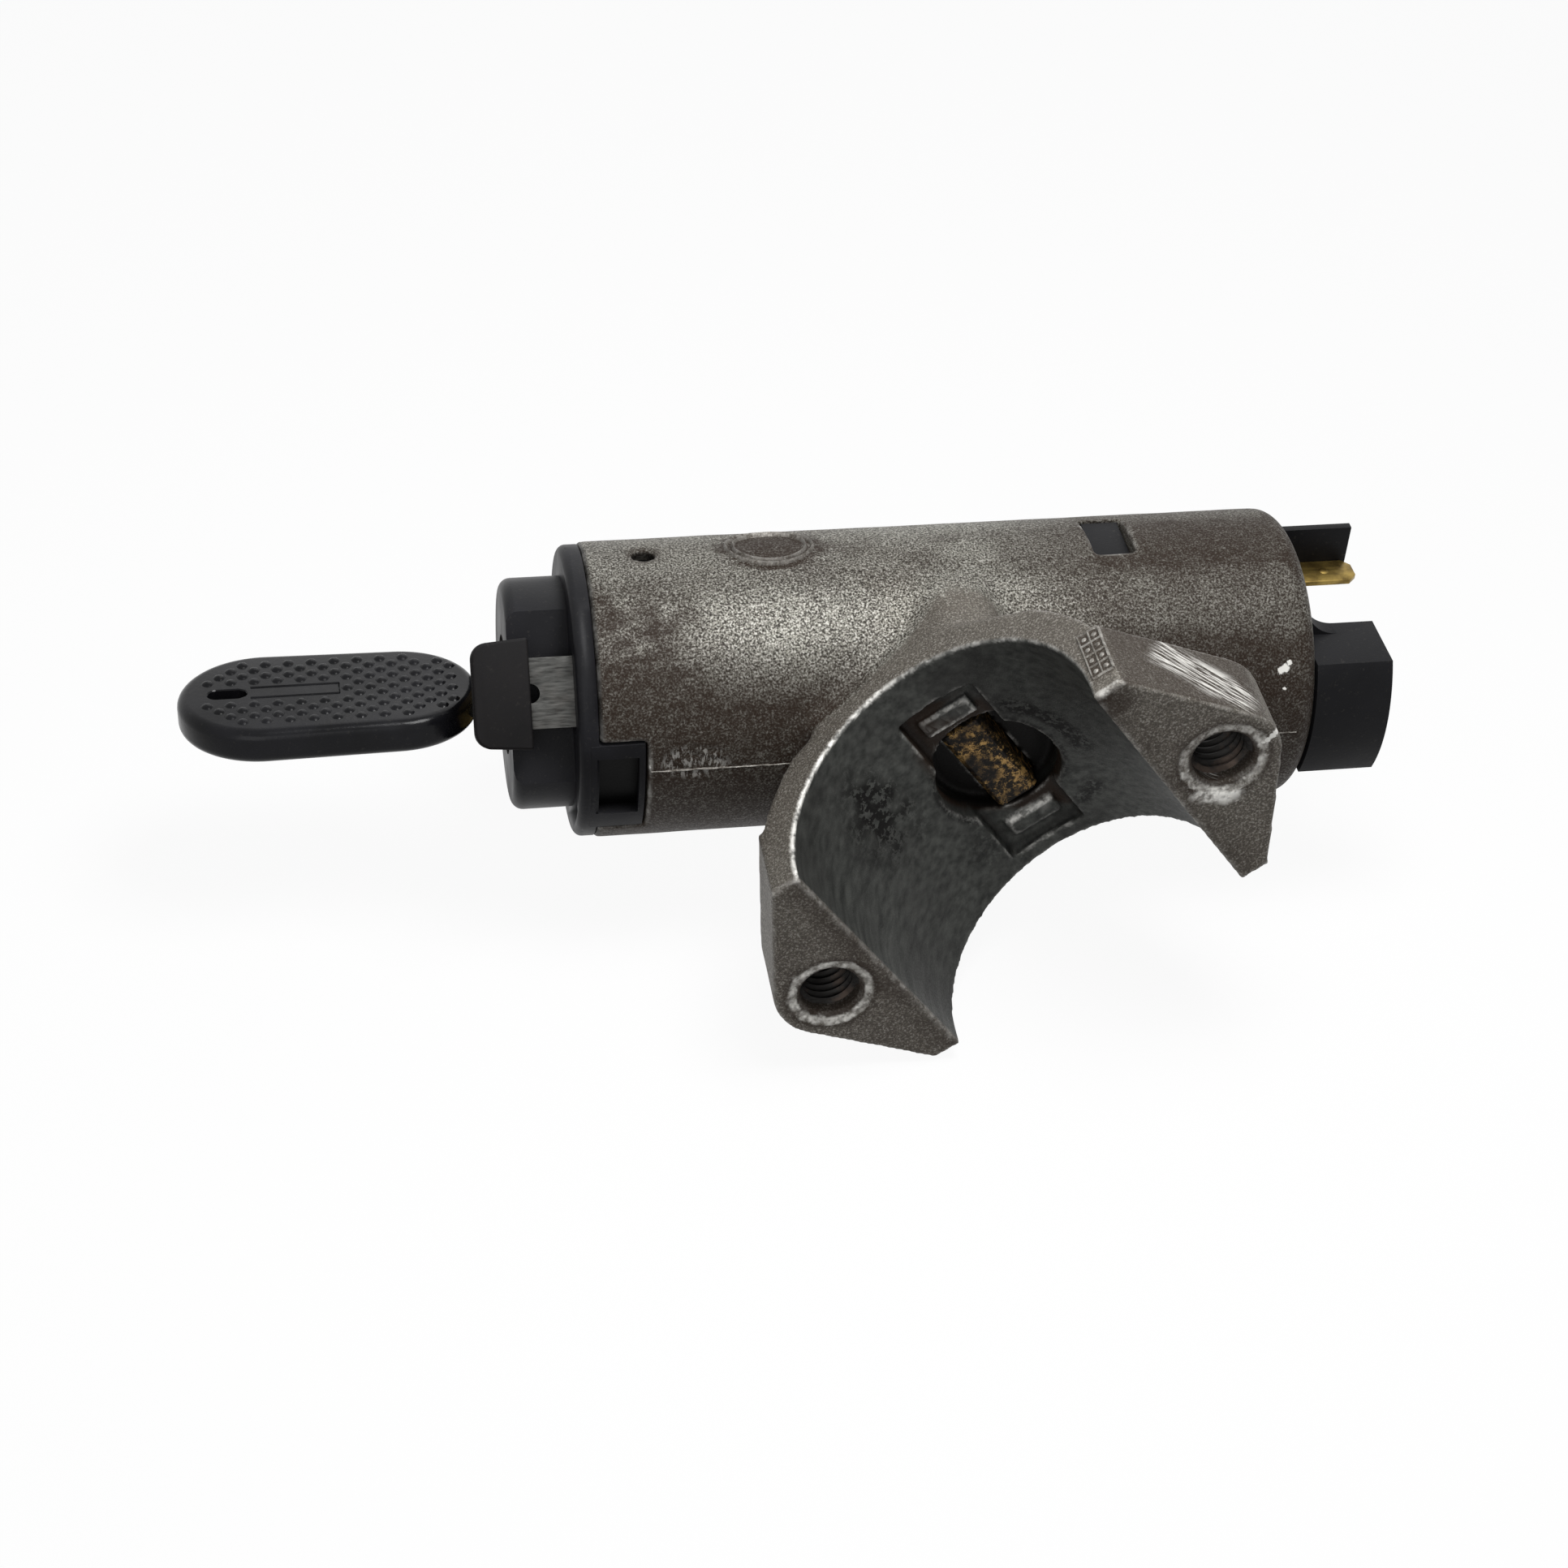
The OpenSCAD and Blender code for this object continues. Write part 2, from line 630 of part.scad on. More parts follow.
// A round disc with rounded edges, the form of each end of the bow
module bow_disc(r) {
    rotate_extrude($fn = 48) {
        square([r - bow_edge, bow_t / 2]);
        mirror([0, 1]) square([r - bow_edge, bow_t / 2]);
        for (s = [-1, 1]) intersection() {
            translate([r - bow_edge, s * (bow_t / 2 - bow_edge)]) circle(bow_edge, $fn = 24);
            translate([0, -bow_t]) square([r + cut, 2 * bow_t]);
        }
        translate([0, -bow_t / 2 + bow_edge]) square([r, bow_t - 2 * bow_edge]);
    }
}

module key_bow() color("#29292d") facing(key_angle) difference() {
    near_r = bow_w / 2 - 0.5;
    hull() {
        translate([bow_front + bow_w / 2, 0, 0]) bow_disc(bow_w / 2);
        translate([bow_back - near_r, 0, 0]) bow_disc(near_r);
    }
    bar(blade_start - run_gap, bow_back + cut, -blade_w / 2 - run_gap, blade_w / 2 + run_gap, blade_t + 2 * run_gap);
    bar(bow_front + slot_start, bow_front + slot_end, -slot_r, slot_r, bow_t * 2);
    for (x = [slot_start, slot_end]) translate([bow_front + x, 0, 0]) z_rod(bow_t * 2, slot_r);
}

module release_lever() color("#8a8c8a") facing(release_angle) difference() {
    union() {
        slab(button_front + button_cover, lever_back, lever_in, lever_out, lever_w);
        for (side = [-1, 1]) translate([0, 0, side * (lever_w / 2 - 0.6)])
            slab(lever_pivot_x - 1.7, lever_pivot_x + 1.7, lever_pivot_rho - 1.5, lever_in + 0.2, 1.2);
    }
    translate([lever_pivot_x, -lever_pivot_rho, 0]) z_rod(lever_w + cut, lever_pin_r + run_gap);
    translate([button_back, 0, 0]) y_rod(-lever_out - cut, -lever_in + cut, 1.3);
}

module release_button() color("#2b2826") facing(release_angle) difference() {
    corner = 2.2;
    front_w = button_w - 0.8;
    translate([0, -button_in, 0]) rotate([90, 0, 0]) linear_extrude(button_t) {
        polygon([[button_front + corner, -front_w / 2], [button_back, -button_w / 2],
            [button_back, button_w / 2], [button_front + corner, front_w / 2]]);
        translate([button_front, -front_w / 2 + corner]) square([corner + cut, front_w - 2 * corner]);
        for (s = [-1, 1]) translate([button_front + corner, s * (front_w / 2 - corner)]) circle(corner);
    }
    slab(button_front + button_cover - run_gap, button_back + cut, lever_in - run_gap, lever_out + run_gap,
        lever_w + 2 * run_gap);
}

module lock_bolt() color("#7a6a50") on_axis() in_mouth() {
    y0 = floor_y + bolt_sink;
    tip = 1;
    difference() {
        union() {
            rotate([-90, 0, 0]) translate([0, 0, y0]) linear_extrude(carrier_front - y0)
                square([bolt_t, bolt_w], center = true);
            rotate([-90, 0, 0]) translate([0, 0, carrier_front - cut]) linear_extrude(cut + carrier_wall)
                square([bolt_t, bolt_w / 2], center = true);
        }
        for (s = [-1, 1]) translate([s * bolt_t / 2, y0, 0]) rotate([0, 0, 45])
            cube([tip, tip, bolt_w * 2], center = true);
        bolt_pin_form();
    }
}

module bolt_carrier() color("#8f8b84") on_axis() difference() {
    y_rod(carrier_front, carrier_back, carrier_r);
    translate([-carrier_r - cut, -window_half, -window_half])
        cube([2 * carrier_r + 2 * cut, window_half + window_back, 2 * window_half]);
    for (side = [-1, 1]) translate([0, 0, side * carrier_spring_z])
        y_rod(-window_half, carrier_back + cut, carrier_spring_r + 0.25);
    in_mouth() {
        bar(-bolt_t / 2, bolt_t / 2, carrier_front - cut, carrier_front + carrier_wall + cut, bolt_w / 2);
        bolt_pin_form();
    }
}

// The cross pin through the carrier's front wall and the bolt's tongue
module bolt_pin_form() {
    translate([0, carrier_front + carrier_wall / 2, 0]) x_rod(-bolt_t / 2 - bolt_pin_reach, bolt_t / 2 + bolt_pin_reach, bolt_pin_r);
}

module bolt_pin() color("#77777a") on_axis() in_mouth() bolt_pin_form();

housing();
front_cap();
cylinder_sleeve();
sleeve_pin();
lever_pin();
lever_spring();
spring_cover();
bolt_springs();
switch_body();
terminal_blades();
fixed_contacts();
detent_ball();
detent_spring();
lock_plug();
lock_wafers();
wafer_springs();
plug_clip();
drive_shaft();
contact_rotor();
contact_bridge();
contact_spring();
key_blade();
key_bow();
release_lever();
release_button();
lock_bolt();
bolt_carrier();
bolt_pin();
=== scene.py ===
import json
import math
import random
from types import SimpleNamespace

import bmesh
import bpy
import numpy as np
from mathutils import Matrix, Vector


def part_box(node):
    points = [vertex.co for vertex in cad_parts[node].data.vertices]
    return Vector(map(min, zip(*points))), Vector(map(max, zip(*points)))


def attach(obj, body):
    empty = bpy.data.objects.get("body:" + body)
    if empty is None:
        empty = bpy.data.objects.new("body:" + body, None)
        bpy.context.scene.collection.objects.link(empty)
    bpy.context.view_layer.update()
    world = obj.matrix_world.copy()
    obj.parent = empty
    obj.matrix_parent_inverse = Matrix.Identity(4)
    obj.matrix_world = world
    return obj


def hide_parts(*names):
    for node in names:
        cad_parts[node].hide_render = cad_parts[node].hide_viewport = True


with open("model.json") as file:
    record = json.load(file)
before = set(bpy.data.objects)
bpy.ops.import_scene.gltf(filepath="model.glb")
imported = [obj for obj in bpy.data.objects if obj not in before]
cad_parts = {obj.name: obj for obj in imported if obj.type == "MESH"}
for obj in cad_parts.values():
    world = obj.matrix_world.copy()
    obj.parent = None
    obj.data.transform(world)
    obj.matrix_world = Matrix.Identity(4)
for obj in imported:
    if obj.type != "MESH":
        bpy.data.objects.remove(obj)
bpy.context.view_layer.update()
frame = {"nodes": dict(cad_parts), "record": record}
nodes = frame["nodes"]
scene = bpy.context.scene
mm = 0.001

# The object's own directions: the barrel runs along X, the column slants through the saddle
plugLow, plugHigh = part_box("lock_plug")
castLow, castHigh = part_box("housing")
axisY = (plugLow.y + plugHigh.y) / 2
barrelRadius = castHigh.y - axisY
earFace = castLow.y / mm
columnAxis = Vector((-0.6, 0.0, 0.8))
acrossColumn = Vector((0.8, 0.0, 0.6))
holeReach = 30 * mm
mouthAlong = -2.0
keyAngle = math.radians(10.5)
keyFrame = Matrix.Translation((0, axisY, 0)) @ Matrix.Rotation(-keyAngle, 4, "X")


def onBarrel(x, angle, lift=0.0):
    # A point on the barrel's skin, with the angle in degrees from -Y towards up
    a = math.radians(angle)
    r = barrelRadius + lift
    return Vector((x, axisY - r * math.cos(a), r * math.sin(a)))


def hexColour(code):
    # sRGB hex to the linear colour that the shader takes
    parts = [int(code[i:i + 2], 16) / 255 for i in (1, 3, 5)]
    linear = [p / 12.92 if p <= 0.04045 else ((p + 0.055) / 1.055) ** 2.4 for p in parts]
    return (linear[0], linear[1], linear[2], 1.0)


def feed(tree, node, inputs):
    # Sets a node's inputs: a socket is linked, anything else is a constant
    for key, value in inputs.items():
        if isinstance(value, bpy.types.NodeSocket):
            tree.links.new(value, node.inputs[key])
        else:
            node.inputs[key].default_value = value


def addNode(tree, kind, inputs, out=0, **settings):
    # One node with its settings and inputs; gives back the output that is wanted
    made = tree.nodes.new("ShaderNode" + kind)
    for name, value in settings.items():
        setattr(made, name, value)
    feed(tree, made, inputs)
    return made.outputs[out]


def newMaterial(name):
    material = bpy.data.materials.new(name)
    material.use_nodes = True
    tree = material.node_tree
    return material, tree, tree.nodes["Principled BSDF"], addNode(tree, "TexCoord", {}, "Object")


def noise(tree, place, size, detail=2.0, rough=0.5, out=0):
    # Smooth noise whose lumps are about size wide
    inputs = {"Vector": place, "Scale": 1 / size, "Detail": detail, "Roughness": rough}
    return addNode(tree, "TexNoise", inputs, out)


def drawnOut(tree, place, scale, detail=2.0, rough=0.5):
    # Noise with its own number of lumps per metre along each axis, for lines and hatching
    return noise(tree, addNode(tree, "Mapping", {"Vector": place, "Scale": scale}), 1.0, detail, rough)


def spread(tree, value, low, high, start=0.0, end=1.0):
    # Carries low to high over to start to end
    return addNode(tree, "MapRange", {0: value, 1: low, 2: high, 3: start, 4: end})


def blend(tree, share, one, two):
    # From the first colour to the second, each a socket or an sRGB hex code
    one, two = [hexColour(c) if isinstance(c, str) else c for c in (one, two)]
    return addNode(tree, "Mix", {0: share, 6: one, 7: two}, 2, data_type="RGBA")


def combine(tree, operation, one, two):
    return addNode(tree, "Math", {0: one, 1: two}, operation=operation)


def meshMask(tree, name):
    # A mask that the mesh carries as an attribute
    return addNode(tree, "Attribute", {}, "Fac", attribute_name=name)


# Bright chips seen on the casting: place and radius in millimetres
chips = [
    ((40.8, 25.1, 10.2), 0.6),
    ((41.4, 25.3, 10.4), 0.65),
    ((42.0, 25.7, 11.0), 0.45),
    ((41.3, 23.9, 8.0), 0.3),
    ((-45.7, 22.4, 2.2), 0.6),
    ((30.6, -1.5, 22.4), 0.6),
    ((30.2, -1.8, 22.0), 0.55),
    ((29.7, -1.8, 21.45), 0.5),
    ((29.2, -1.8, 20.9), 0.48),
    ((28.7, -1.8, 20.35), 0.45),
    ((28.2, -1.8, 19.8), 0.42),
]


# Materials, each named for what the real piece is made of

# The real grit grain is finer than a pixel, so it is drawn coarser, at a size that shows
zincSettings = {"grain": 0.28 * mm, "coarse": 1.2 * mm, "patches": 13 * mm, "warm": 20 * mm,
                "stipple": 0.95 * mm, "ragged": 0.6 * mm, "raggedReach": 0.8 * mm, "cleanMetal": 0.35,
                "coveredMetal": 0.05, "shine": 0.1, "relief": 0.14 * mm}


def zincSkin(tree, shader, coords, grain, coarse, patches, body, rough):
    # What lies on the casting, by the mesh's masks: machined floor, dirt with painted shade, oil, grease with
    # painted shade, and rubbed metal
    floor = blend(tree, spread(tree, drawnOut(tree, coords, (900, 120, 900)), 0.3, 0.7), "#2e2f2d", "#4b4c49")
    floor = blend(tree, spread(tree, patches, 0.4, 0.7, 0.0, 0.6), floor, "#2a2928")
    body = blend(tree, meshMask(tree, "boreFloor"), body, floor)
    bare = spread(tree, grain, 0.52, 0.66, 1.0, 0.9)
    share = combine(tree, "MULTIPLY", spread(tree, coarse, 0.3, 0.6, 0.86, 1.0), bare)
    # Dirt, and painted shade under the barrel, turn the casting dark brown
    dirtAndShadeShare = combine(tree, "MULTIPLY", meshMask(tree, "dirtAndShade"), share)
    body = blend(tree, dirtAndShadeShare, body, "#241a13")
    stipple = noise(tree, coords, zincSettings["stipple"], 3.0, 0.7)
    oilGreaseAndShade = combine(tree, "MULTIPLY", meshMask(tree, "oil"), spread(tree, stipple, 0.45, 0.5))
    # Grease, and painted shade in the pin's hole and round the recess's foot, are near black
    oilGreaseAndShade = combine(tree, "MAXIMUM", oilGreaseAndShade, meshMask(tree, "greaseAndShade"))
    body = blend(tree, oilGreaseAndShade, body, "#0b0a09")
    # Rubbed metal: edges, the scuffed patch, the filed facet and the chips
    rubbed = combine(tree, "MULTIPLY", meshMask(tree, "wear"), spread(tree, coarse, 0.38, 0.56, 0.2, 1.0))
    hatch = drawnOut(tree, coords, (1900, 620, 620), 3.0, 0.65)
    scuffed = combine(tree, "MULTIPLY", meshMask(tree, "scuff"), spread(tree, hatch, 0.52, 0.58))
    rubbed = combine(tree, "MAXIMUM", rubbed, scuffed)
    strokes = addNode(tree, "CombineXYZ", {0: meshMask(tree, "aside"), 1: meshMask(tree, "reach")})
    marks = noise(tree, strokes, 1.0, 3.0, 0.6)
    filed = combine(tree, "MULTIPLY", meshMask(tree, "filed"), spread(tree, marks, 0.47, 0.55))
    rubbed = combine(tree, "MAXIMUM", rubbed, filed)
    ragged = noise(tree, coords, zincSettings["ragged"], 3.0, 0.7, 1)
    ragged = addNode(tree, "VectorMath", {0: ragged, 1: (0.5, 0.5, 0.5)}, operation="SUBTRACT")
    reach = (zincSettings["raggedReach"],) * 3
    ragged = addNode(tree, "VectorMath", {0: ragged, 1: reach, 2: coords}, operation="MULTIPLY_ADD")
    for place, radius in chips:
        middle = [c * mm for c in place]
        away = addNode(tree, "VectorMath", {0: ragged, 1: middle}, 1, operation="DISTANCE")
        chip = spread(tree, away, radius * mm, 0.75 * radius * mm, 0.0, 0.95)
        rubbed = combine(tree, "MAXIMUM", rubbed, chip)
    body = blend(tree, rubbed, body, "#eceae4")
    rough = addNode(tree, "Mix", {0: rubbed, 2: rough, 3: 0.36})
    covered = combine(tree, "MAXIMUM", combine(tree, "MAXIMUM", dirtAndShadeShare, oilGreaseAndShade), rubbed)
    metal = spread(tree, covered, 0.0, 1.0, zincSettings["cleanMetal"], zincSettings["coveredMetal"])
    feed(tree, shader, {"Base Color": body, "Metallic": metal, "Roughness": rough})


def blastedCastZinc(name, masked):
    # Die-cast zinc, blasted with grit: a dull grain with painted shade and glints, dark with handling, bright
    # where rubbed
    material, tree, shader, coords = newMaterial(name)
    grain = noise(tree, coords, zincSettings["grain"], 2.0, 0.7)
    coarse = noise(tree, coords, zincSettings["coarse"], 2.0, 0.6)
    patches = noise(tree, coords, zincSettings["patches"], 4.0, 0.6)
    warm = noise(tree, coords, zincSettings["warm"], 3.0)
    body = blend(tree, spread(tree, patches, 0.3, 0.72), "#827f78", "#adaca2")
    body = blend(tree, spread(tree, warm, 0.5, 0.72, 0.0, 0.25), body, "#574c3e")
    # Away from the barrel the skin is smoother and browner with handling
    calm = meshMask(tree, "calm")
    body = blend(tree, combine(tree, "MULTIPLY", calm, 0.8), body, "#575049")
    # Pits between the grains are painted dark as shade, and the tops of the grains get painted glints
    depth = spread(tree, calm, 0.0, 1.0, 0.94, 0.52)
    body = blend(tree, spread(tree, grain, 0.4, 0.58, depth, 0.0), body, "#1b1916")
    depth = spread(tree, calm, 0.0, 1.0, 0.88, 0.3)
    body = blend(tree, spread(tree, grain, 0.56, 0.68, 0.0, depth), body, "#c6c5be")
    rough = spread(tree, grain, 0.3, 0.7, 0.6, 0.42)
    if masked:
        zincSkin(tree, shader, coords, grain, coarse, patches, body, rough)
    else:
        feed(tree, shader, {"Base Color": body, "Metallic": zincSettings["cleanMetal"], "Roughness": rough})
    low = combine(tree, "MULTIPLY", coarse, 0.5)
    height = addNode(tree, "Math", {0: grain, 1: 0.7, 2: low}, operation="MULTIPLY_ADD")
    normal = addNode(tree, "Bump", {"Height": height, "Distance": zincSettings["relief"], "Strength": 0.7})
    feed(tree, shader, {"Specular IOR Level": zincSettings["shine"], "Normal": normal})
    return material


def mouldedPlastic(name, dark, light, grain, rough, shine, dust, topDustAndLight, relief=0.05 * mm):
    # Injection-moulded plastic: even, with a fine mould grain, handling marks, and dust with painted light on
    # the upward faces
    material, tree, shader, coords = newMaterial(name)
    mould = noise(tree, coords, grain, 2.0, 0.6)
    patches = noise(tree, coords, 9 * mm, 3.0, 0.6)
    motes = noise(tree, coords, 0.7 * mm, 3.0, 0.7)
    colour = blend(tree, spread(tree, patches, 0.35, 0.65), dark, light)
    colour = blend(tree, spread(tree, motes, 0.6, 0.75, 0.0, dust), colour, "#6f6a62")
    # Upward faces are made lighter: settled dust, and painted light from above
    facing = addNode(tree, "SeparateXYZ", {0: addNode(tree, "TexCoord", {}, "Normal")}, "Z")
    colour = blend(tree, spread(tree, facing, 0.2, 0.9, 0.0, topDustAndLight), colour, "#5a5a5c")
    # Painted shade: a marked pocket is made near black
    colour = blend(tree, meshMask(tree, "pocketShade"), colour, "#030303")
    worn = spread(tree, patches, 0.3, 0.7, rough - 0.07, rough + 0.09)
    normal = addNode(tree, "Bump", {"Height": mould, "Distance": relief, "Strength": 0.4})
    feed(tree, shader, {"Base Color": colour, "Roughness": worn, "IOR": 1.5, "Specular IOR Level": shine,
                        "Normal": normal})
    return material


def drawnSteel(name, dark, light, rough, lines, rust):
    # Rolled or drawn steel: fine lines along the stock, a little tarnish
    material, tree, shader, coords = newMaterial(name)
    fine = drawnOut(tree, coords, lines, 3.0)
    patches = noise(tree, coords, 4 * mm, 4.0, 0.65)
    colour = blend(tree, spread(tree, fine, 0.3, 0.7), dark, light)
    rusted = spread(tree, patches, 0.5, 0.66, 0.0, rust)
    colour = blend(tree, rusted, colour, "#3c2b1e")
    metal = spread(tree, rusted, 0.0, 1.0, 1.0, 0.3)
    worn = spread(tree, fine, 0.3, 0.7, rough - 0.06, rough + 0.1)
    normal = addNode(tree, "Bump", {"Height": fine, "Distance": 0.03 * mm, "Strength": 0.3})
    feed(tree, shader, {"Base Color": colour, "Metallic": metal, "Roughness": worn, "Normal": normal})
    return material


def rustyGreasedSteel(name):
    # Hardened steel with old grease and flash rust: gold-brown specks over a dark ground
    material, tree, shader, coords = newMaterial(name)
    specks = noise(tree, coords, 1.1 * mm, 6.0, 0.85)
    patches = noise(tree, coords, 4.5 * mm, 3.0, 0.6)
    colour = blend(tree, spread(tree, patches, 0.4, 0.62), "#1c1815", "#40331f")
    share = spread(tree, patches, 0.38, 0.56, 0.1, 1.0)
    gold = combine(tree, "MULTIPLY", spread(tree, specks, 0.52, 0.56), share)
    colour = blend(tree, gold, colour, "#b8935a")
    colour = blend(tree, spread(tree, specks, 0.5, 0.45), colour, "#0c0a08")
    worn = spread(tree, specks, 0.3, 0.7, 0.6, 0.4)
    normal = addNode(tree, "Bump", {"Height": specks, "Distance": 0.12 * mm, "Strength": 0.6})
    feed(tree, shader, {"Base Color": colour, "Metallic": 0.25, "Specular IOR Level": 0.15, "Roughness": worn,
                        "Normal": normal})
    return material


def tarnishedBrass(name):
    # Stamped brass, tarnished to olive brown, with fine rolling lines in its shine
    material, tree, shader, coords = newMaterial(name)
    patches = noise(tree, coords, 2.6 * mm, 4.0, 0.6)
    fine = drawnOut(tree, coords, (150, 2200, 2200))
    colour = blend(tree, spread(tree, patches, 0.35, 0.65), "#66542c", "#a28a4c")
    worn = spread(tree, fine, 0.3, 0.7, 0.3, 0.48)
    normal = addNode(tree, "Bump", {"Height": fine, "Distance": 0.02 * mm, "Strength": 0.3})
    feed(tree, shader, {"Base Color": colour, "Metallic": 0.9, "Roughness": worn, "Normal": normal})
    return material


materials = {
    "cast_zinc": blastedCastZinc("gritBlastedCastZinc", True),
    "cast_zinc_inner": blastedCastZinc("cleanCastZinc", False),
    "black_cap": mouldedPlastic("mouldedBlackPolyamide", "#101012", "#18181b", grain=0.35 * mm, rough=0.4,
                                shine=0.07, dust=0.12, topDustAndLight=0.1),
    "black_switch": mouldedPlastic("mouldedBlackPhenolic", "#0d0d0f", "#151517", grain=0.3 * mm, rough=0.5,
                                   shine=0.1, dust=0.1, topDustAndLight=0.04),
    "black_bow": mouldedPlastic("mouldedBlackKeyPlastic", "#0d0d0f", "#161619", grain=0.7 * mm, rough=0.2,
                                shine=0.13, dust=0.08, topDustAndLight=0.0, relief=0.04 * mm),
    "brown_black_button": mouldedPlastic("mouldedBrownBlackPolyamide", "#0f0e0e", "#171515", grain=0.3 * mm,
                                         rough=0.6, shine=0.05, dust=0.06, topDustAndLight=0.12),
    "pale_plastic": mouldedPlastic("mouldedNaturalAcetal", "#a8a293", "#c3beb0", grain=0.5 * mm, rough=0.42,
                                   shine=0.5, dust=0.1, topDustAndLight=0.0),
    "steel": drawnSteel("turnedSteel", "#191817", "#2e2d2c", 0.45, (300, 2200, 2200), 0.7),
    "spring_steel": drawnSteel("drawnSpringWire", "#7d7d80", "#a1a1a4", 0.28, (1800, 1800, 1800), 0.1),
    "lever_steel": drawnSteel("platedSteelStrip", "#2d2d2c", "#525250", 0.42, (500, 3200, 3200), 0.08),
    "key_steel": drawnSteel("milledNickelSilver", "#a5a69f", "#bdbeb7", 0.26, (220, 2400, 2400), 0.05),
    "rusty_bolt": rustyGreasedSteel("greasedRustySteel"),
    "brass": tarnishedBrass("stampedTarnishedBrass"),
}
nodeSlots = {s["node"]: s["material_slot"] for s in frame["record"]["subparts"]}
for nodeName, node in nodes.items():
    node.data.materials.clear()
    node.data.materials.append(materials[nodeSlots[nodeName]])
print("materials made for", len(nodes), "CAD nodes")


def meshObject(name, bm):
    # A new object from bmesh geometry, with its normals set outward
    bmesh.ops.remove_doubles(bm, verts=bm.verts, dist=0.0005 * mm)
    bmesh.ops.recalc_face_normals(bm, faces=bm.faces)
    mesh = bpy.data.meshes.new(name)
    bm.to_mesh(mesh)
    bm.free()
    made = bpy.data.objects.new(name, mesh)
    scene.collection.objects.link(made)
    return made


def smoothShade(obj, degrees):
    obj.data.shade_smooth()
    obj.data.set_sharp_from_angle(angle=math.radians(degrees))


def settle(obj, body, slotName, *replaced):
    # Gives a piece its material, its body and the CAD nodes that it stands for
    obj.data.materials.clear()
    obj.data.materials.append(materials[slotName])
    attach(obj, body)
    if replaced:
        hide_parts(*replaced)


def finalMesh(obj):
    graph = bpy.context.evaluated_depsgraph_get()
    return bpy.data.meshes.new_from_object(obj.evaluated_get(graph))


def mergedCopy(nodeName):
    # A copy of a CAD node's mesh with its loose triangles joined
    bm = bmesh.new()
    bm.from_mesh(nodes[nodeName].data)
    bmesh.ops.remove_doubles(bm, verts=bm.verts, dist=0.001 * mm)
    return bm


def vertexData(mesh, key):
    flat = np.zeros(len(mesh.vertices) * 3)
    mesh.vertices.foreach_get(key, flat)
    return flat.reshape(-1, 3)


def ramp(values, low, high):
    # Smooth step from 0 at low to 1 at high
    t = np.clip((values - low) / (high - low), 0, 1)
    return t * t * (3 - 2 * t)


def near(values, middle, full, none):
    # 1 within full of the middle, falling to 0 at none
    return ramp(-np.abs(values - middle), -none, -full)


def waves(points, seed, size, count=14):
    # A smooth random field between about -1 and 1 whose bumps are about size wide
    dice = np.random.default_rng(seed)
    total = np.zeros(len(points))
    for number in range(count):
        way = dice.normal(size=3)
        way *= 2 * math.pi / (size * dice.uniform(0.7, 1.6) * np.linalg.norm(way))
        total += np.sin(points @ way + dice.uniform(0, 6.28))
    return total / math.sqrt(count)


# Cast housing: the CAD shape with the soft edges and filled corners that a casting has

castSettings = {
    "voxel": 0.36 * mm,
    "edgePasses": 4,
    "filletPasses": 60,
    "triangles": 185000,
    "waviness": 0.05 * mm,
    "scuffDepth": 0.16 * mm,
    "chamberRoom": 0.25 * mm,
}

# Places on the casting, in millimetres and degrees
columnRadius = 22.0
saddleHalf = 20.0
neckHalf = 12.4
wellAcross = 0.8
pinX = -43.8
pinAngle = 99.0
scuffX = -39.4
scuffAngle = 7.5
facetOut = (0.3416, 0.0, 0.9398)
fileFrom = (15.2, 7.0)
fileWay = (0.8575, 0.5145)
# The length of one degree round the barrel
degreeLength = math.radians(1) * barrelRadius / mm

# The parting line along the barrel and the oval rim on top of it, which the dirt follows
markSettings = {"lineAngle": 4.3, "lineSpans": ((-45.2, -19.5), (37.0, 43.6)), "lineStep": 0.6,
                "lineWidth": 0.4 * mm, "lineHeight": 0.1 * mm, "ovalX": -26.6 * mm, "ovalAngle": 101.0,
                "ovalLong": 5.9 * mm, "ovalShort": 4.7 * mm, "rimWidth": 0.7 * mm, "rimHeight": 0.5 * mm,
                "ovalSteps": 60}


def neighbourMean(values, edges, counts):
    # The mean of each point's neighbours, for one column of values
    return (np.bincount(edges[:, 0], values[edges[:, 1]], len(values))
            + np.bincount(edges[:, 1], values[edges[:, 0]], len(values))) / counts


def relax(points, edges, counts, amount, passes):
    # Draws points towards their neighbours where the amount is above zero
    for number in range(passes):
        mean = np.stack([neighbourMean(points[:, k], edges, counts) for k in range(3)], axis=1)
        points += 0.5 * amount[:, None] * (mean - points)


def setMask(mesh, name, values):
    mesh.attributes.new(name, "FLOAT", "POINT").data.foreach_set("value", values.astype(np.float32))


def castFrame(points):
    # Where points lie on the housing, in millimetres and degrees, to tell its regions apart
    p = points / mm
    at = SimpleNamespace(points=p, x=p[:, 0], y=p[:, 1], z=p[:, 2])
    at.along = p @ np.array(columnAxis)
    at.across = p @ np.array(acrossColumn)
    at.columnDistance = np.hypot(at.across, at.y)
    at.axisDistance = np.hypot(at.y - axisY / mm, at.z)
    at.angle = np.degrees(np.arctan2(at.z, axisY / mm - at.y))
    at.hole = np.hypot(np.abs(at.across) - holeReach / mm, at.along)
    away = np.hypot((at.x - scuffX) / 1.25, (at.angle - scuffAngle) * 0.5)
    at.scuff = ramp(-away, -4.2, -2.6) * ramp(at.axisDistance, 19, 20)
    return at


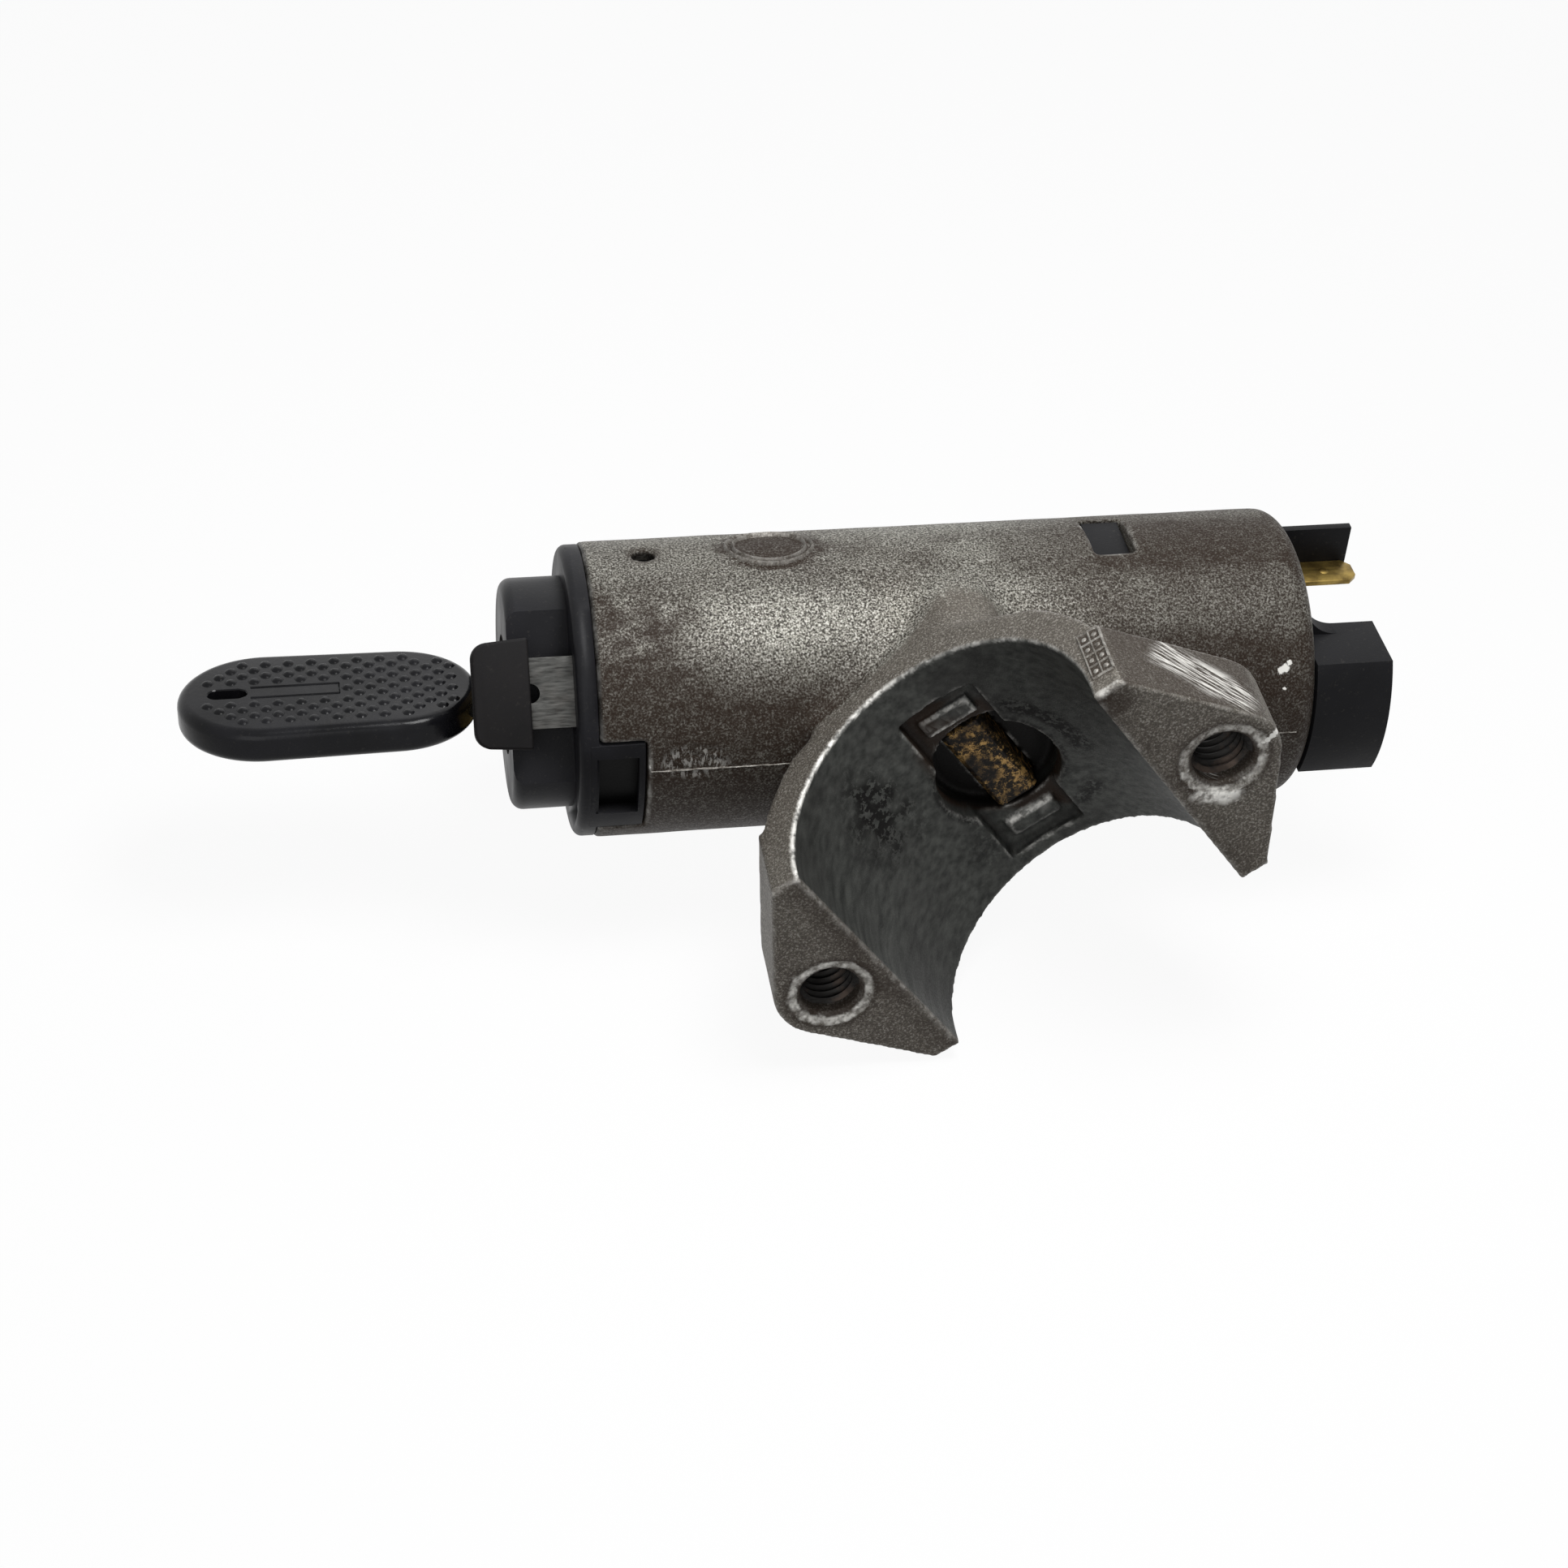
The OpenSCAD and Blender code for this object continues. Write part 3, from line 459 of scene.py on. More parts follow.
def castHousing():
    rough = meshObject("castHousing", mergedCopy("housing"))
    voxels = rough.modifiers.new("voxels", "REMESH")
    voxels.mode = "VOXEL"
    voxels.voxel_size = castSettings["voxel"]
    fine = finalMesh(rough)
    rough.modifiers.clear()
    rough.data = fine
    points = vertexData(fine, "co")
    flat = np.zeros(len(fine.edges) * 2, dtype=np.int64)
    fine.edges.foreach_get("vertices", flat)
    edges = flat.reshape(-1, 2)
    counts = np.maximum(np.bincount(edges.ravel(), minlength=len(points)), 1)
    at = castFrame(points)
    # Corners between neck, ring and barrel fill up; holes, bolt mouth and bores stay as machined
    outside = ramp(at.axisDistance, 18.2, 19.2)
    outside *= ramp(at.columnDistance, columnRadius + 0.6, columnRadius + 1.6)
    nearNeck = near(np.abs(at.across), neckHalf, 2.5, 6.5) * ramp(at.y, 13, 18) * ramp(-at.y, -46, -40)
    nearEnds = near(np.abs(at.along), saddleHalf - 0.6, 3.0, 7.5) * near(at.across, 0, 12, 15)
    nearEnds *= ramp(at.y, 20, 25) * ramp(-at.y, -46, -41)
    onRim = ramp(np.abs(at.along), saddleHalf - 0.8, saddleHalf - 0.2)
    onRim *= ramp(-at.columnDistance, -26.4, -25.4)
    fillet = np.clip(np.maximum(nearNeck, nearEnds), 0, 1) * outside * (1 - onRim)
    spotFace = ramp(-at.hole, -6.6, -5.9) * ramp(-at.y, -earFace - 2, -earFace - 1)
    boltMouth = near(at.along, mouthAlong, 15.6, 17) * near(at.across, 0, 9.5, 11) * ramp(at.y, 18, 20)
    bore = ramp(-at.axisDistance, -18.0, -17.4)
    machined = np.maximum(np.maximum(spotFace, boltMouth), bore)
    relax(points, edges, counts, 1 - 0.85 * machined, castSettings["edgePasses"])
    relax(points, edges, counts, fillet, castSettings["filletPasses"])
    fine.vertices.foreach_set("co", points.ravel())
    fine.update()
    normals = vertexData(fine, "normal")
    # Convex edges, seen from how far a point stands out of its neighbours
    mean = np.stack([neighbourMean(points[:, k], edges, counts) for k in range(3)], axis=1)
    out = np.einsum("ij,ij->i", points - mean, normals) / castSettings["voxel"]
    for number in range(2):
        out = neighbourMean(out, edges, counts)
    skin = ramp(at.axisDistance, 19.0, 20.0)
    # The skin waves and is scuffed, and the bolt's chamber gets back the room that rounded corners take
    wavy = castSettings["waviness"] * (0.5 + 0.35 * waves(at.points, 5, 7.0)) * skin * outside
    scuffed = castSettings["scuffDepth"] * (0.6 + 0.5 * waves(at.points, 9, 1.1)) * at.scuff
    chamber = ramp(-np.hypot(at.x, at.z), -12.5, -11.5) * ramp(at.y, 23.0, 24.0)
    chamber *= ramp(-at.axisDistance, -20, -18.6)
    for sink in (wavy, scuffed, castSettings["chamberRoom"] * chamber):
        points -= normals * sink[:, None]
    fine.vertices.foreach_set("co", points.ravel())
    setMask(fine, "convex", out)
    fewer = rough.modifiers.new("fewer", "DECIMATE")
    fewer.ratio = castSettings["triangles"] / (2.0 * len(fine.polygons))
    rough.data = finalMesh(rough)
    rough.modifiers.clear()
    rough.data.name = "castHousing"
    return rough


def castRegions(mesh):
    # Parts of the casting's surface that its masks share
    at = castFrame(vertexData(mesh, "co"))
    at.normals = vertexData(mesh, "normal")
    at.out = np.zeros(len(at.points), dtype=np.float32)
    mesh.attributes["convex"].data.foreach_get("value", at.out)
    at.skin = near(at.axisDistance, barrelRadius / mm, 0.9, 1.6)
    at.onEar = ramp(-at.y, -earFace - 0.8, -earFace - 0.3)
    at.leftEar = ramp(-at.across, -4, 4)
    at.facet = ramp(at.normals @ np.array(facetOut), 0.9, 0.97) * ramp(at.across, 25.5, 26.5)
    at.inBore = ramp(-at.columnDistance, -columnRadius - 0.45, -columnRadius - 0.2)
    at.inBore *= ramp(at.y, earFace + 0.3, earFace + 0.8)
    at.recess = near(at.across, 0, 6.0, 6.4) * near(at.along, mouthAlong, 15.4, 15.9)
    at.around = np.hypot(at.across - wellAcross, at.along - mouthAlong)
    at.well = ramp(-at.around, -9.2, -8.7)
    at.deep = ramp(at.y, 18.5, 20.0) * ramp(-at.y, -44, -40)
    at.pin = np.hypot(at.x - pinX, (at.angle - pinAngle) * degreeLength)
    return at


def greaseAndShadeMask(at):
    greaseAndShade = at.well * ramp(at.y, 23.2, 24.2) * ramp(-at.y, -44, -40)
    # The recess has a dark line of painted shade round its foot
    sides = near(np.abs(at.across), 5.6, 0.4, 1.0)
    foot = np.maximum(sides, near(np.abs(at.along - mouthAlong), 15.0, 0.4, 1.0))
    greaseAndShade = np.maximum(greaseAndShade, 0.55 * foot * at.recess * ramp(at.y, 21.6, 22.8) * at.deep)
    # The pin's hole is painted dark as shade, and a dark line runs along the seam with the front cap
    pinHole = ramp(-at.pin, -1.9, -1.5) * ramp(-at.axisDistance, -19.95, -19.6)
    pinHole *= ramp(at.axisDistance, 16, 17)
    seam = ramp(-at.x, castLow.x / -mm - 0.8, castLow.x / -mm - 0.3) * at.skin
    return np.maximum(np.maximum(greaseAndShade, 0.9 * pinHole), 0.85 * seam)


def wearMask(at):
    p = at.points
    wear = 0.5 * ramp(at.out, 0.035, 0.12) * np.clip(0.5 + 0.45 * waves(p, 21, 3.5), 0, 1)
    # The ring's near rim is rubbed bright by the column, most of all on its left
    rim = ramp(-np.hypot(at.columnDistance - columnRadius, at.along - saddleHalf), -0.55, -0.32)
    rim *= ramp(at.y, earFace, earFace + 1) * (0.35 + 0.65 * ramp(-at.across, -3, 6))
    wear = np.maximum(wear, rim * (0.75 + 0.25 * waves(p, 22, 2.0)))
    # The ears' edges are rubbed thin lines: by the bore and at the step to the ring's end
    edge = ramp(-np.hypot(np.abs(at.across) - columnRadius, at.y - earFace), -0.8, -0.45)
    wear = np.maximum(wear, 0.16 * edge * (0.6 + 0.4 * waves(p, 23, 2.5)))
    step = ramp(-np.hypot(at.along - saddleHalf, at.y - earFace), -0.9, -0.45)
    step *= near(np.abs(at.across), 24, 1.9, 2.6)
    wear = np.maximum(wear, (0.45 + 0.3 * np.sign(at.across)) * step * (0.7 + 0.3 * waves(p, 24, 1.5)))
    # Below the right hole the spot face is scraped white
    scraped = ramp(-np.hypot((at.x - 24) / 3.6, (at.z - 12.2) / 1.2), -1.1, -0.75) * at.onEar
    wear = np.maximum(wear, 0.95 * scraped)
    # The pads by the bolt are rubbed along their inner edges, and the spot faces all round
    padEdge = near(np.abs(at.along - mouthAlong), 9.9, 0.4, 0.9) * near(at.across, 0, 3.4, 4.0)
    wear = np.maximum(wear, 0.7 * padEdge * ramp(-at.y, -23.3, -22.7) * at.deep)
    spot = near(at.hole + 0.16 * waves(p, 32, 1.6), 5.15, 0.45, 0.75) * at.onEar
    wear = np.maximum(wear, spot * (0.34 + 0.1 * at.leftEar + 0.24 * waves(p, 31, 0.8)))
    return np.clip(wear, 0, 1)


def dirtAndShadeMask(at):
    # Painted shade under the barrel and inside its bore; dirt by the front, on the ears and round the spot
    # faces; darker in hollow corners, over the barrel's top and towards its right end
    p = at.points
    down = np.abs((at.angle + 270) % 360 - 180)
    # Painted shade: the barrel darkens from its underside up past its front
    low = ramp(-down, -146, -108) * at.skin
    film = at.skin * ramp(-down, -175, -160)
    crown = at.skin * ramp(down, 158, 172)
    rear = at.skin * ramp(at.x, -4, 24) * (0.94 + 0.06 * waves(p, 53, 6.0))
    hollow = ramp(-at.out, 0.04, 0.12)
    front = near(at.x, -48, 3, 15) * near(at.angle, 50, 12, 40) * at.skin
    front *= 0.7 + 0.3 * waves(p, 52, 4.0)
    top = near(at.x, -8, 6, 20) * near(at.angle, 92, 5, 16) * ramp(waves(p, 51, 6.0), -0.4, 0.8)
    outline = near(at.hole, 6.1, 0.15, 0.5) * at.onEar
    mouthRim = near(at.hole, 4.2, 0.25, 0.5) * ramp(-at.y, -earFace - 3, -earFace - 2)
    byBore = at.onEar * ramp(-np.abs(at.across), -26.5, -23)
    byBore *= 0.5 + 0.5 * ramp(waves(p, 61, 5.0), -0.5, 0.8)
    corner = near(at.across, 24, 1.8, 3.2) * near(at.along, 17.6, 1.4, 2.6) * at.onEar
    cells = near(at.across, 24.3, 1.5, 2.0) * near(at.y, 5.6, 4.3, 4.9) * ramp(at.along, 19.0, 19.5)
    ovalReach = (at.x - markSettings["ovalX"] / mm) / (markSettings["ovalLong"] / mm)
    ovalSwing = (at.angle - markSettings["ovalAngle"]) * degreeLength / (markSettings["ovalShort"] / mm)
    oval = np.hypot(ovalReach, ovalSwing)
    ovalDirt = at.skin * np.maximum(near(oval, 1.14, 0.06, 0.14), 0.8 * ramp(-oval, -0.98, -0.92))
    smear = at.skin * ramp(-at.pin, -3.2, -1.6)
    layers = ((0.85, low), (0.25, film), (0.4, crown), (0.52, rear), (0.4, hollow), (0.85, front),
              (0.25, top), (0.5, outline), (0.8, mouthRim), (0.4, byBore), (0.5, corner), (0.75, cells),
              (0.64, at.facet), (0.7, ovalDirt), (0.4, smear), (0.06, at.onEar),
              (0.13, at.onEar * at.leftEar))
    dirtAndShade = sum(amount * layer for amount, layer in layers)
    # Painted shade: the bore inside the barrel is made dark
    inside = ramp(-at.axisDistance, -17.6, -17.2)
    return np.clip(np.maximum(dirtAndShade, 0.9 * inside), 0, 0.95)


def oilMask(at):
    # Old oil: stippled patches on the saddle floor and black crescents by the bolt mouth
    left = np.exp(-(((at.across + 14.2) / 3.1) ** 2 + ((at.along - 5.8) / 6.4) ** 2))
    left *= 0.75 + 0.45 * waves(at.points, 71, 3.0)
    lower = np.exp(-(((at.across + 7.0) / 3.5) ** 2 + ((at.along + 12.0) / 4.0) ** 2))
    turn = np.degrees(np.arctan2(at.along - mouthAlong, at.across - wellAcross))
    upper = near(at.around, 11.8, 0.9, 1.9) * near(turn, 26, 28, 42)
    right = near(at.around, 13.4, 0.7, 1.6) * near(turn, -52, 8, 16)
    edging = near(at.around, 8.9, 0.3, 0.8)
    return np.clip(2.0 * left + 0.85 * right + upper + 0.8 * edging + 0.5 * lower, 0, 1) * at.inBore


def castMasks(mesh):
    # Where the casting is machined, dirty, oiled or rubbed, kept as attributes of the mesh
    at = castRegions(mesh)
    # File marks across the upper facet of the right ear, with the way along and across the strokes
    fromX = at.x - fileFrom[0]
    fromY = at.y - fileFrom[1]
    reach = fromX * fileWay[0] - fromY * fileWay[1]
    aside = fromX * fileWay[1] + fromY * fileWay[0]
    filed = at.facet * ramp(reach, -0.5, 1.0) * ramp(-reach, -15, -12.5) * near(aside, 0.9, 2.0, 3.8)
    boreFloor = np.clip(np.maximum(at.inBore, np.maximum(at.recess, at.well) * at.deep), 0, 1)
    masks = {"boreFloor": boreFloor, "dirtAndShade": dirtAndShadeMask(at), "oil": oilMask(at), "greaseAndShade": greaseAndShadeMask(at),
             "wear": wearMask(at), "scuff": 0.24 * at.scuff, "filed": 0.7 * filed, "reach": 0.2 * reach,
             "aside": 2.8 * aside, "calm": 1 - at.skin}
    for name, values in masks.items():
        setMask(mesh, name, values)
    mesh.attributes.remove(mesh.attributes["convex"])


casting = castHousing()
castMasks(casting.data)
casting.data.shade_smooth()
settle(casting, "housing", "cast_zinc", "housing")
print("cast housing:", len(casting.data.polygons), "faces")


# Threads in the two clamp-bolt holes

threadSettings = {"pitch": 1.25 * mm, "root": 4.03 * mm, "crest": 3.42 * mm, "start": (earFace + 1.9) * mm,
                  "turns": 7.3, "steps": 40}


def clampThreads():
    bm = bmesh.new()
    pitch = threadSettings["pitch"]
    section = [(threadSettings["root"], -0.45), (threadSettings["crest"], -0.09),
               (threadSettings["crest"], 0.09), (threadSettings["root"], 0.45)]
    total = int(threadSettings["turns"] * threadSettings["steps"])
    for side in (-1, 1):
        middle = acrossColumn * holeReach * side
        rings = []
        for i in range(total + 1):
            a = 2 * math.pi * i / threadSettings["steps"]
            y = threadSettings["start"] + pitch * i / threadSettings["steps"]
            ring = []
            for r, shift in section:
                place = (middle.x + r * math.cos(a), y + shift * pitch, middle.z + r * math.sin(a))
                ring.append(bm.verts.new(place))
            rings.append(ring)
        for one, two in zip(rings, rings[1:]):
            for k in range(4):
                bm.faces.new((one[k], one[(k + 1) % 4], two[(k + 1) % 4], two[k]))
        bm.faces.new(rings[0])
        bm.faces.new(rings[-1])
    made = meshObject("clampThreads", bm)
    smoothShade(made, 40)
    settle(made, "housing", "steel")


clampThreads()


# Cast marks that stand proud: parting line and bare oval rim on the barrel, grid of dots on the ring's end

def ridge(bm, path, outward, width, height):
    # A low ridge of triangular section along a path, sunk a little into the surface
    rows = []
    for i, point in enumerate(path):
        before = path[max(i - 1, 0)]
        after = path[min(i + 1, len(path) - 1)]
        side = (after - before).normalized().cross(outward[i]).normalized()
        base = point - outward[i] * 0.1 * mm
        rows.append([bm.verts.new(base - side * width / 2), bm.verts.new(point + outward[i] * height),
                     bm.verts.new(base + side * width / 2)])
    for one, two in zip(rows, rows[1:]):
        for k in range(3):
            bm.faces.new((one[k], one[(k + 1) % 3], two[(k + 1) % 3], two[k]))
    if (path[0] - path[-1]).length > 1e-7:
        bm.faces.new(rows[0])
        bm.faces.new(rows[-1])


def dome(bm, place, outward, radius, height, sides):
    # A low round bump with its foot a little below the surface
    first = outward.orthogonal().normalized()
    second = outward.cross(first)
    rings = []
    for share in (1.0, 0.72, 0.36):
        lift = height * (1 - share ** 2.4) - 0.03 * mm
        ring = []
        for k in range(sides):
            a = 2 * math.pi * k / sides
            way = first * math.cos(a) + second * math.sin(a)
            ring.append(bm.verts.new(place + way * radius * share + outward * lift))
        rings.append(ring)
    for one, two in zip(rings, rings[1:]):
        for k in range(sides):
            bm.faces.new((one[k], one[(k + 1) % sides], two[(k + 1) % sides], two[k]))
    bm.faces.new(rings[-1])
    bm.faces.new(rings[0])


gridSettings = {"across": (22.8, 24.25, 25.7), "dots": (23.52, 24.98), "along": 19.93, "from": 1.4,
                "pitch": 2.1, "rows": 4, "width": 0.5 * mm, "height": 0.26 * mm, "dotRadius": 0.45 * mm}


def outOfBarrel(angle):
    return (onBarrel(0, angle) - Vector((0, axisY, 0))).normalized()


def ringEnd(across, back):
    # A point on the near end of the ring, in millimetres across the column and back from its middle
    corner = columnAxis * gridSettings["along"] * mm
    return corner + acrossColumn * across * mm + Vector((0, back * mm, 0))


def partingLine(bm):
    dice = random.Random(7)
    step = markSettings["lineStep"]
    for start, end in markSettings["lineSpans"]:
        path = []
        outward = []
        for i in range(int((end - start) / step) + 1):
            angle = markSettings["lineAngle"] + dice.uniform(-0.12, 0.12)
            lift = -0.01 * mm + dice.uniform(-0.05, 0.03) * mm
            path.append(onBarrel((start + step * i) * mm, angle, lift))
            outward.append(outOfBarrel(angle))
        ridge(bm, path, outward, markSettings["lineWidth"], markSettings["lineHeight"])


def ovalRim(bm):
    for shrink in (1.0, 0.84):
        path = []
        outward = []
        for i in range(markSettings["ovalSteps"] + 1):
            t = 2 * math.pi * i / markSettings["ovalSteps"]
            swing = math.degrees(markSettings["ovalShort"] * shrink * math.sin(t) / barrelRadius)
            angle = markSettings["ovalAngle"] + swing
            reach = markSettings["ovalLong"] * shrink * math.cos(t)
            path.append(onBarrel(markSettings["ovalX"] + reach, angle, -0.05 * mm))
            outward.append(outOfBarrel(angle))
        ridge(bm, path, outward, markSettings["rimWidth"], markSettings["rimHeight"])


def dottedGrid(bm):
    # The grid lies on the near end of the ring, by the right ear, with a dot in each cell
    columns = gridSettings["across"]
    levels = [gridSettings["from"] + gridSettings["pitch"] * k for k in range(gridSettings["rows"] + 1)]
    lines = [((x, levels[0]), (x, levels[-1])) for x in columns]
    lines += [((columns[0], y), (columns[-1], y)) for y in levels]
    for one, two in lines:
        path = [ringEnd(*one), ringEnd(*two)]
        ridge(bm, path, [columnAxis] * 2, gridSettings["width"], gridSettings["height"])
    for y in levels[:-1]:
        for x in gridSettings["dots"]:
            place = ringEnd(x, y + gridSettings["pitch"] / 2)
            dome(bm, place, columnAxis, gridSettings["dotRadius"], gridSettings["height"], 8)


def castMarks():
    bm = bmesh.new()
    partingLine(bm)
    ovalRim(bm)
    dottedGrid(bm)
    made = meshObject("castMarks", bm)
    smoothShade(made, 60)
    settle(made, "housing", "cast_zinc")
    # The crests are rubbed clean and the feet hold dirt
    at = castFrame(vertexData(made.data, "co"))
    proud = at.axisDistance - barrelRadius / mm
    crest = np.maximum(ramp(proud, 0.1, 0.4), 0.2 * ramp(at.along, saddleHalf + 0.05, saddleHalf + 0.3))
    crest = np.maximum(crest, ramp(proud, 0.0, 0.08) * near(at.angle, markSettings["lineAngle"], 1.0, 2.0))
    setMask(made.data, "dirtAndShade", 0.75 - 0.6 * crest)
    setMask(made.data, "wear", 0.2 * crest)
    setMask(made.data, "calm", np.ones(len(crest)))


castMarks()
print("threads and cast marks made")


# Key bow: a flat moulded grip with rounded edges, a ring slot, a bare panel and rows of small pips

bowLow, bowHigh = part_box("key_bow")
bowSettings = {"farRadius": 11.5 * mm, "nearRadius": 11.0 * mm, "thickness": 4.9 * mm, "edge": 1.5 * mm,
               "edgeSteps": 6, "points": 96, "slotFrom": 5.4 * mm, "slotTo": 8.0 * mm, "slotRadius": 1.3 * mm,
               "pipPitch": 3.1 * mm, "pipRow": 1.62 * mm, "pipRadius": 0.9 * mm, "pipHeight": 0.42 * mm,
               "margin": 2.7 * mm, "panelHalf": 1.45 * mm, "panelLength": 11.8 * mm, "bareHalf": 2.4 * mm,
               "bareBefore": 3.6 * mm, "bareAfter": 1.0 * mm, "rimWidth": 0.4 * mm, "rimHeight": 0.16 * mm,
               "slotRim": 0.15 * mm}
farX = bowLow.x + bowSettings["farRadius"]
nearX = bowHigh.x - bowSettings["nearRadius"]


def bowOutline(inset):
    # Two round ends joined by straight tangents, set in from the widest outline
    far = bowSettings["farRadius"] - inset
    close = bowSettings["nearRadius"] - inset
    lean = math.acos((far - close) / (nearX - farX))
    half = bowSettings["points"] // 2
    outline = []
    for i in range(half):
        a = -lean + 2 * lean * i / (half - 1)
        outline.append((nearX + close * math.cos(a), close * math.sin(a)))
    for i in range(half):
        a = lean + (2 * math.pi - 2 * lean) * i / (half - 1)
        outline.append((farX + far * math.cos(a), far * math.sin(a)))
    return outline


def slotOutline(radius):
    # The slot's outline, with its points in the same order as the bow's
    one = bowLow.x + bowSettings["slotFrom"]
    two = bowLow.x + bowSettings["slotTo"]
    outline = []
    middle = (one + two) / 2
    for x, y in bowOutline(0.0):
        a = math.atan2(y, (x - middle) * 0.6)
        centre = two if math.cos(a) > 0 else one
        outline.append((centre + radius * math.cos(a), radius * math.sin(a)))
    return outline


def bowHalfWidth(x):
    if x < farX:
        return math.sqrt(max(bowSettings["farRadius"] ** 2 - (x - farX) ** 2, 0.0))
    if x > nearX:
        return math.sqrt(max(bowSettings["nearRadius"] ** 2 - (x - nearX) ** 2, 0.0))
    share = (x - farX) / (nearX - farX)
    return bowSettings["farRadius"] + (bowSettings["nearRadius"] - bowSettings["farRadius"]) * share


def keyBow():
    bm = bmesh.new()
    half = bowSettings["thickness"] / 2
    edge = bowSettings["edge"]
    steps = bowSettings["edgeSteps"]
    profile = []
    for i in range(steps + 1):
        a = math.pi / 2 * i / steps
        profile.append((edge - edge * math.sin(a), -half + edge - edge * math.cos(a)))
    profile += [(inset, -z) for inset, z in reversed(profile)]
    loops = [[bm.verts.new((x, y, z)) for x, y in bowOutline(inset)] for inset, z in profile]
    slot = bowSettings["slotRadius"]
    rim = bowSettings["slotRim"]
    slotProfile = ((slot + rim, half), (slot, half - rim), (slot, -half + rim), (slot + rim, -half))
    slots = [[bm.verts.new((x, y, z)) for x, y in slotOutline(radius)] for radius, z in slotProfile]
    rings = loops + slots + [loops[0]]
    count = bowSettings["points"]
    for one, two in zip(rings, rings[1:]):
        for k in range(count):
            m = (k + 1) % count
            bm.faces.new((one[k], one[m], two[m], two[k]))
    bm.transform(keyFrame)
    made = meshObject("keyBow", bm)
    smoothShade(made, 32)
    settle(made, "key", "black_bow", "key_bow")


def bowPips():
    # Low round pips on both faces, left out at the slot and the bare panel with its low rim
    bm = bmesh.new()
    half = bowSettings["thickness"] / 2
    margin = bowSettings["margin"]
    fieldEnd = bowHigh.x - margin
    panelFrom = bowLow.x + bowSettings["slotTo"] + bowSettings["slotRadius"] + 0.5 * mm
    panelTo = panelFrom + bowSettings["panelLength"]
    bareFrom = bowLow.x + bowSettings["slotFrom"] - bowSettings["bareBefore"]
    bareTo = panelTo + bowSettings["bareAfter"]
    wide = bowSettings["panelHalf"]
    for side in (-1, 1):
        face = Vector((0, 0, side))
        for row in range(-6, 7):
            y = row * bowSettings["pipRow"]
            x = bowLow.x + 1.0 * mm + (row % 2) * bowSettings["pipPitch"] / 2
            while x < fieldEnd:
                x += bowSettings["pipPitch"]
                inField = x < fieldEnd and abs(y) < bowHalfWidth(x) - margin
                onPanel = abs(y) < bowSettings["bareHalf"] and bareFrom < x < bareTo
                if inField and not onPanel:
                    place = Vector((x, y, side * half))
                    dome(bm, place, face, bowSettings["pipRadius"], bowSettings["pipHeight"], 8)
        corners = [Vector((x, y, side * half)) for x, y in ((panelFrom, -wide), (panelTo, -wide),
                                                            (panelFrom, wide), (panelTo, wide))]
        for one, two in ((0, 1), (2, 3), (1, 3)):
            path = [corners[one], corners[two]]
            ridge(bm, path, [face, face], bowSettings["rimWidth"], bowSettings["rimHeight"])
    bm.transform(keyFrame)
    made = meshObject("bowPips", bm)
    smoothShade(made, 50)
    settle(made, "key", "black_bow")


keyBow()
bowPips()
print("key bow made")


# The other seen pieces keep their CAD shape and get the small edge radius of their real make

softSettings = {
    "front_cap": ("housing", 0.3 * mm),
    "switch_body": ("housing", 0.25 * mm),
    "terminal_blades": ("housing", 0.12 * mm),
    "release_button": ("lever", 0.4 * mm),
    "release_lever": ("lever", 0.12 * mm),
    "lock_bolt": ("bolt", 0.5 * mm),
}
flatAngle = math.radians(0.6)
creaseAngle = math.radians(38)
# The pocket in the latch tongue and the dimple in the blade
pocketSettings = {"tilt": math.radians(-6.5), "floor": 16.5, "skin": 1.2, "from": -0.5, "to": 5.6, "half": 7}
dimpleSettings = {"fromTip": 4.4 * mm, "radius": 0.75 * mm, "height": 0.22 * mm, "sides": 16}


def softened(nodeName, body, width):
    bm = mergedCopy(nodeName)
    bmesh.ops.dissolve_limit(bm, angle_limit=flatAngle, verts=bm.verts, edges=bm.edges)
    sharp = [e for e in bm.edges if len(e.link_faces) == 2 and e.calc_face_angle(0) > creaseAngle]
    bmesh.ops.bevel(bm, geom=sharp, offset=width, offset_type="OFFSET", affect="EDGES", segments=3,
                    profile=0.5, material=-1, clamp_overlap=True)
    made = meshObject(nodeName + "Soft", bm)
    smoothShade(made, 30)
    settle(made, body, nodeSlots[nodeName], nodeName)
    return made


def shadedPocket(cap):
    # The pocket in the latch tongue is painted near black as shade: its floor is marked for the shader
    p = vertexData(cap.data, "co") / mm
    tilt = pocketSettings["tilt"]
    outward = (axisY / mm - p[:, 1]) * math.cos(tilt) + p[:, 2] * math.sin(tilt)
    beside = p[:, 2] * math.cos(tilt) - (axisY / mm - p[:, 1]) * math.sin(tilt)
    length = p[:, 0] - castLow.x / mm
    pocket = (outward > pocketSettings["floor"]) & (outward < barrelRadius / mm - pocketSettings["skin"])
    pocket &= (length > pocketSettings["from"]) & (length < pocketSettings["to"])
    pocket &= np.abs(beside) < pocketSettings["half"]
    setMask(cap.data, "pocketShade", pocket)


def bladeDimple():
    # The pressed bump near the tip of the upper blade that a push-on socket snaps over
    bm = bmesh.new()
    points = vertexData(nodes["terminal_blades"].data, "co")
    top = points[points[:, 2] > points[:, 2].max() - 0.05 * mm]
    tip = top[:, 0].max() - dimpleSettings["fromTip"]
    place = Vector((tip, (top[:, 1].min() + top[:, 1].max()) / 2, top[:, 2].max()))
    dome(bm, place, Vector((0, 0, 1)), dimpleSettings["radius"], dimpleSettings["height"],
         dimpleSettings["sides"])
    made = meshObject("bladeDimple", bm)
    smoothShade(made, 50)
    settle(made, "housing", "brass")


for nodeName, (body, width) in softSettings.items():
    softPiece = softened(nodeName, body, width)
    if nodeName == "front_cap":
        shadedPocket(softPiece)
bladeDimple()
print("soft-edged pieces made")


# Stage: a pale floor that looks white and keeps a faint shadow, a soft box overhead and two weak fills

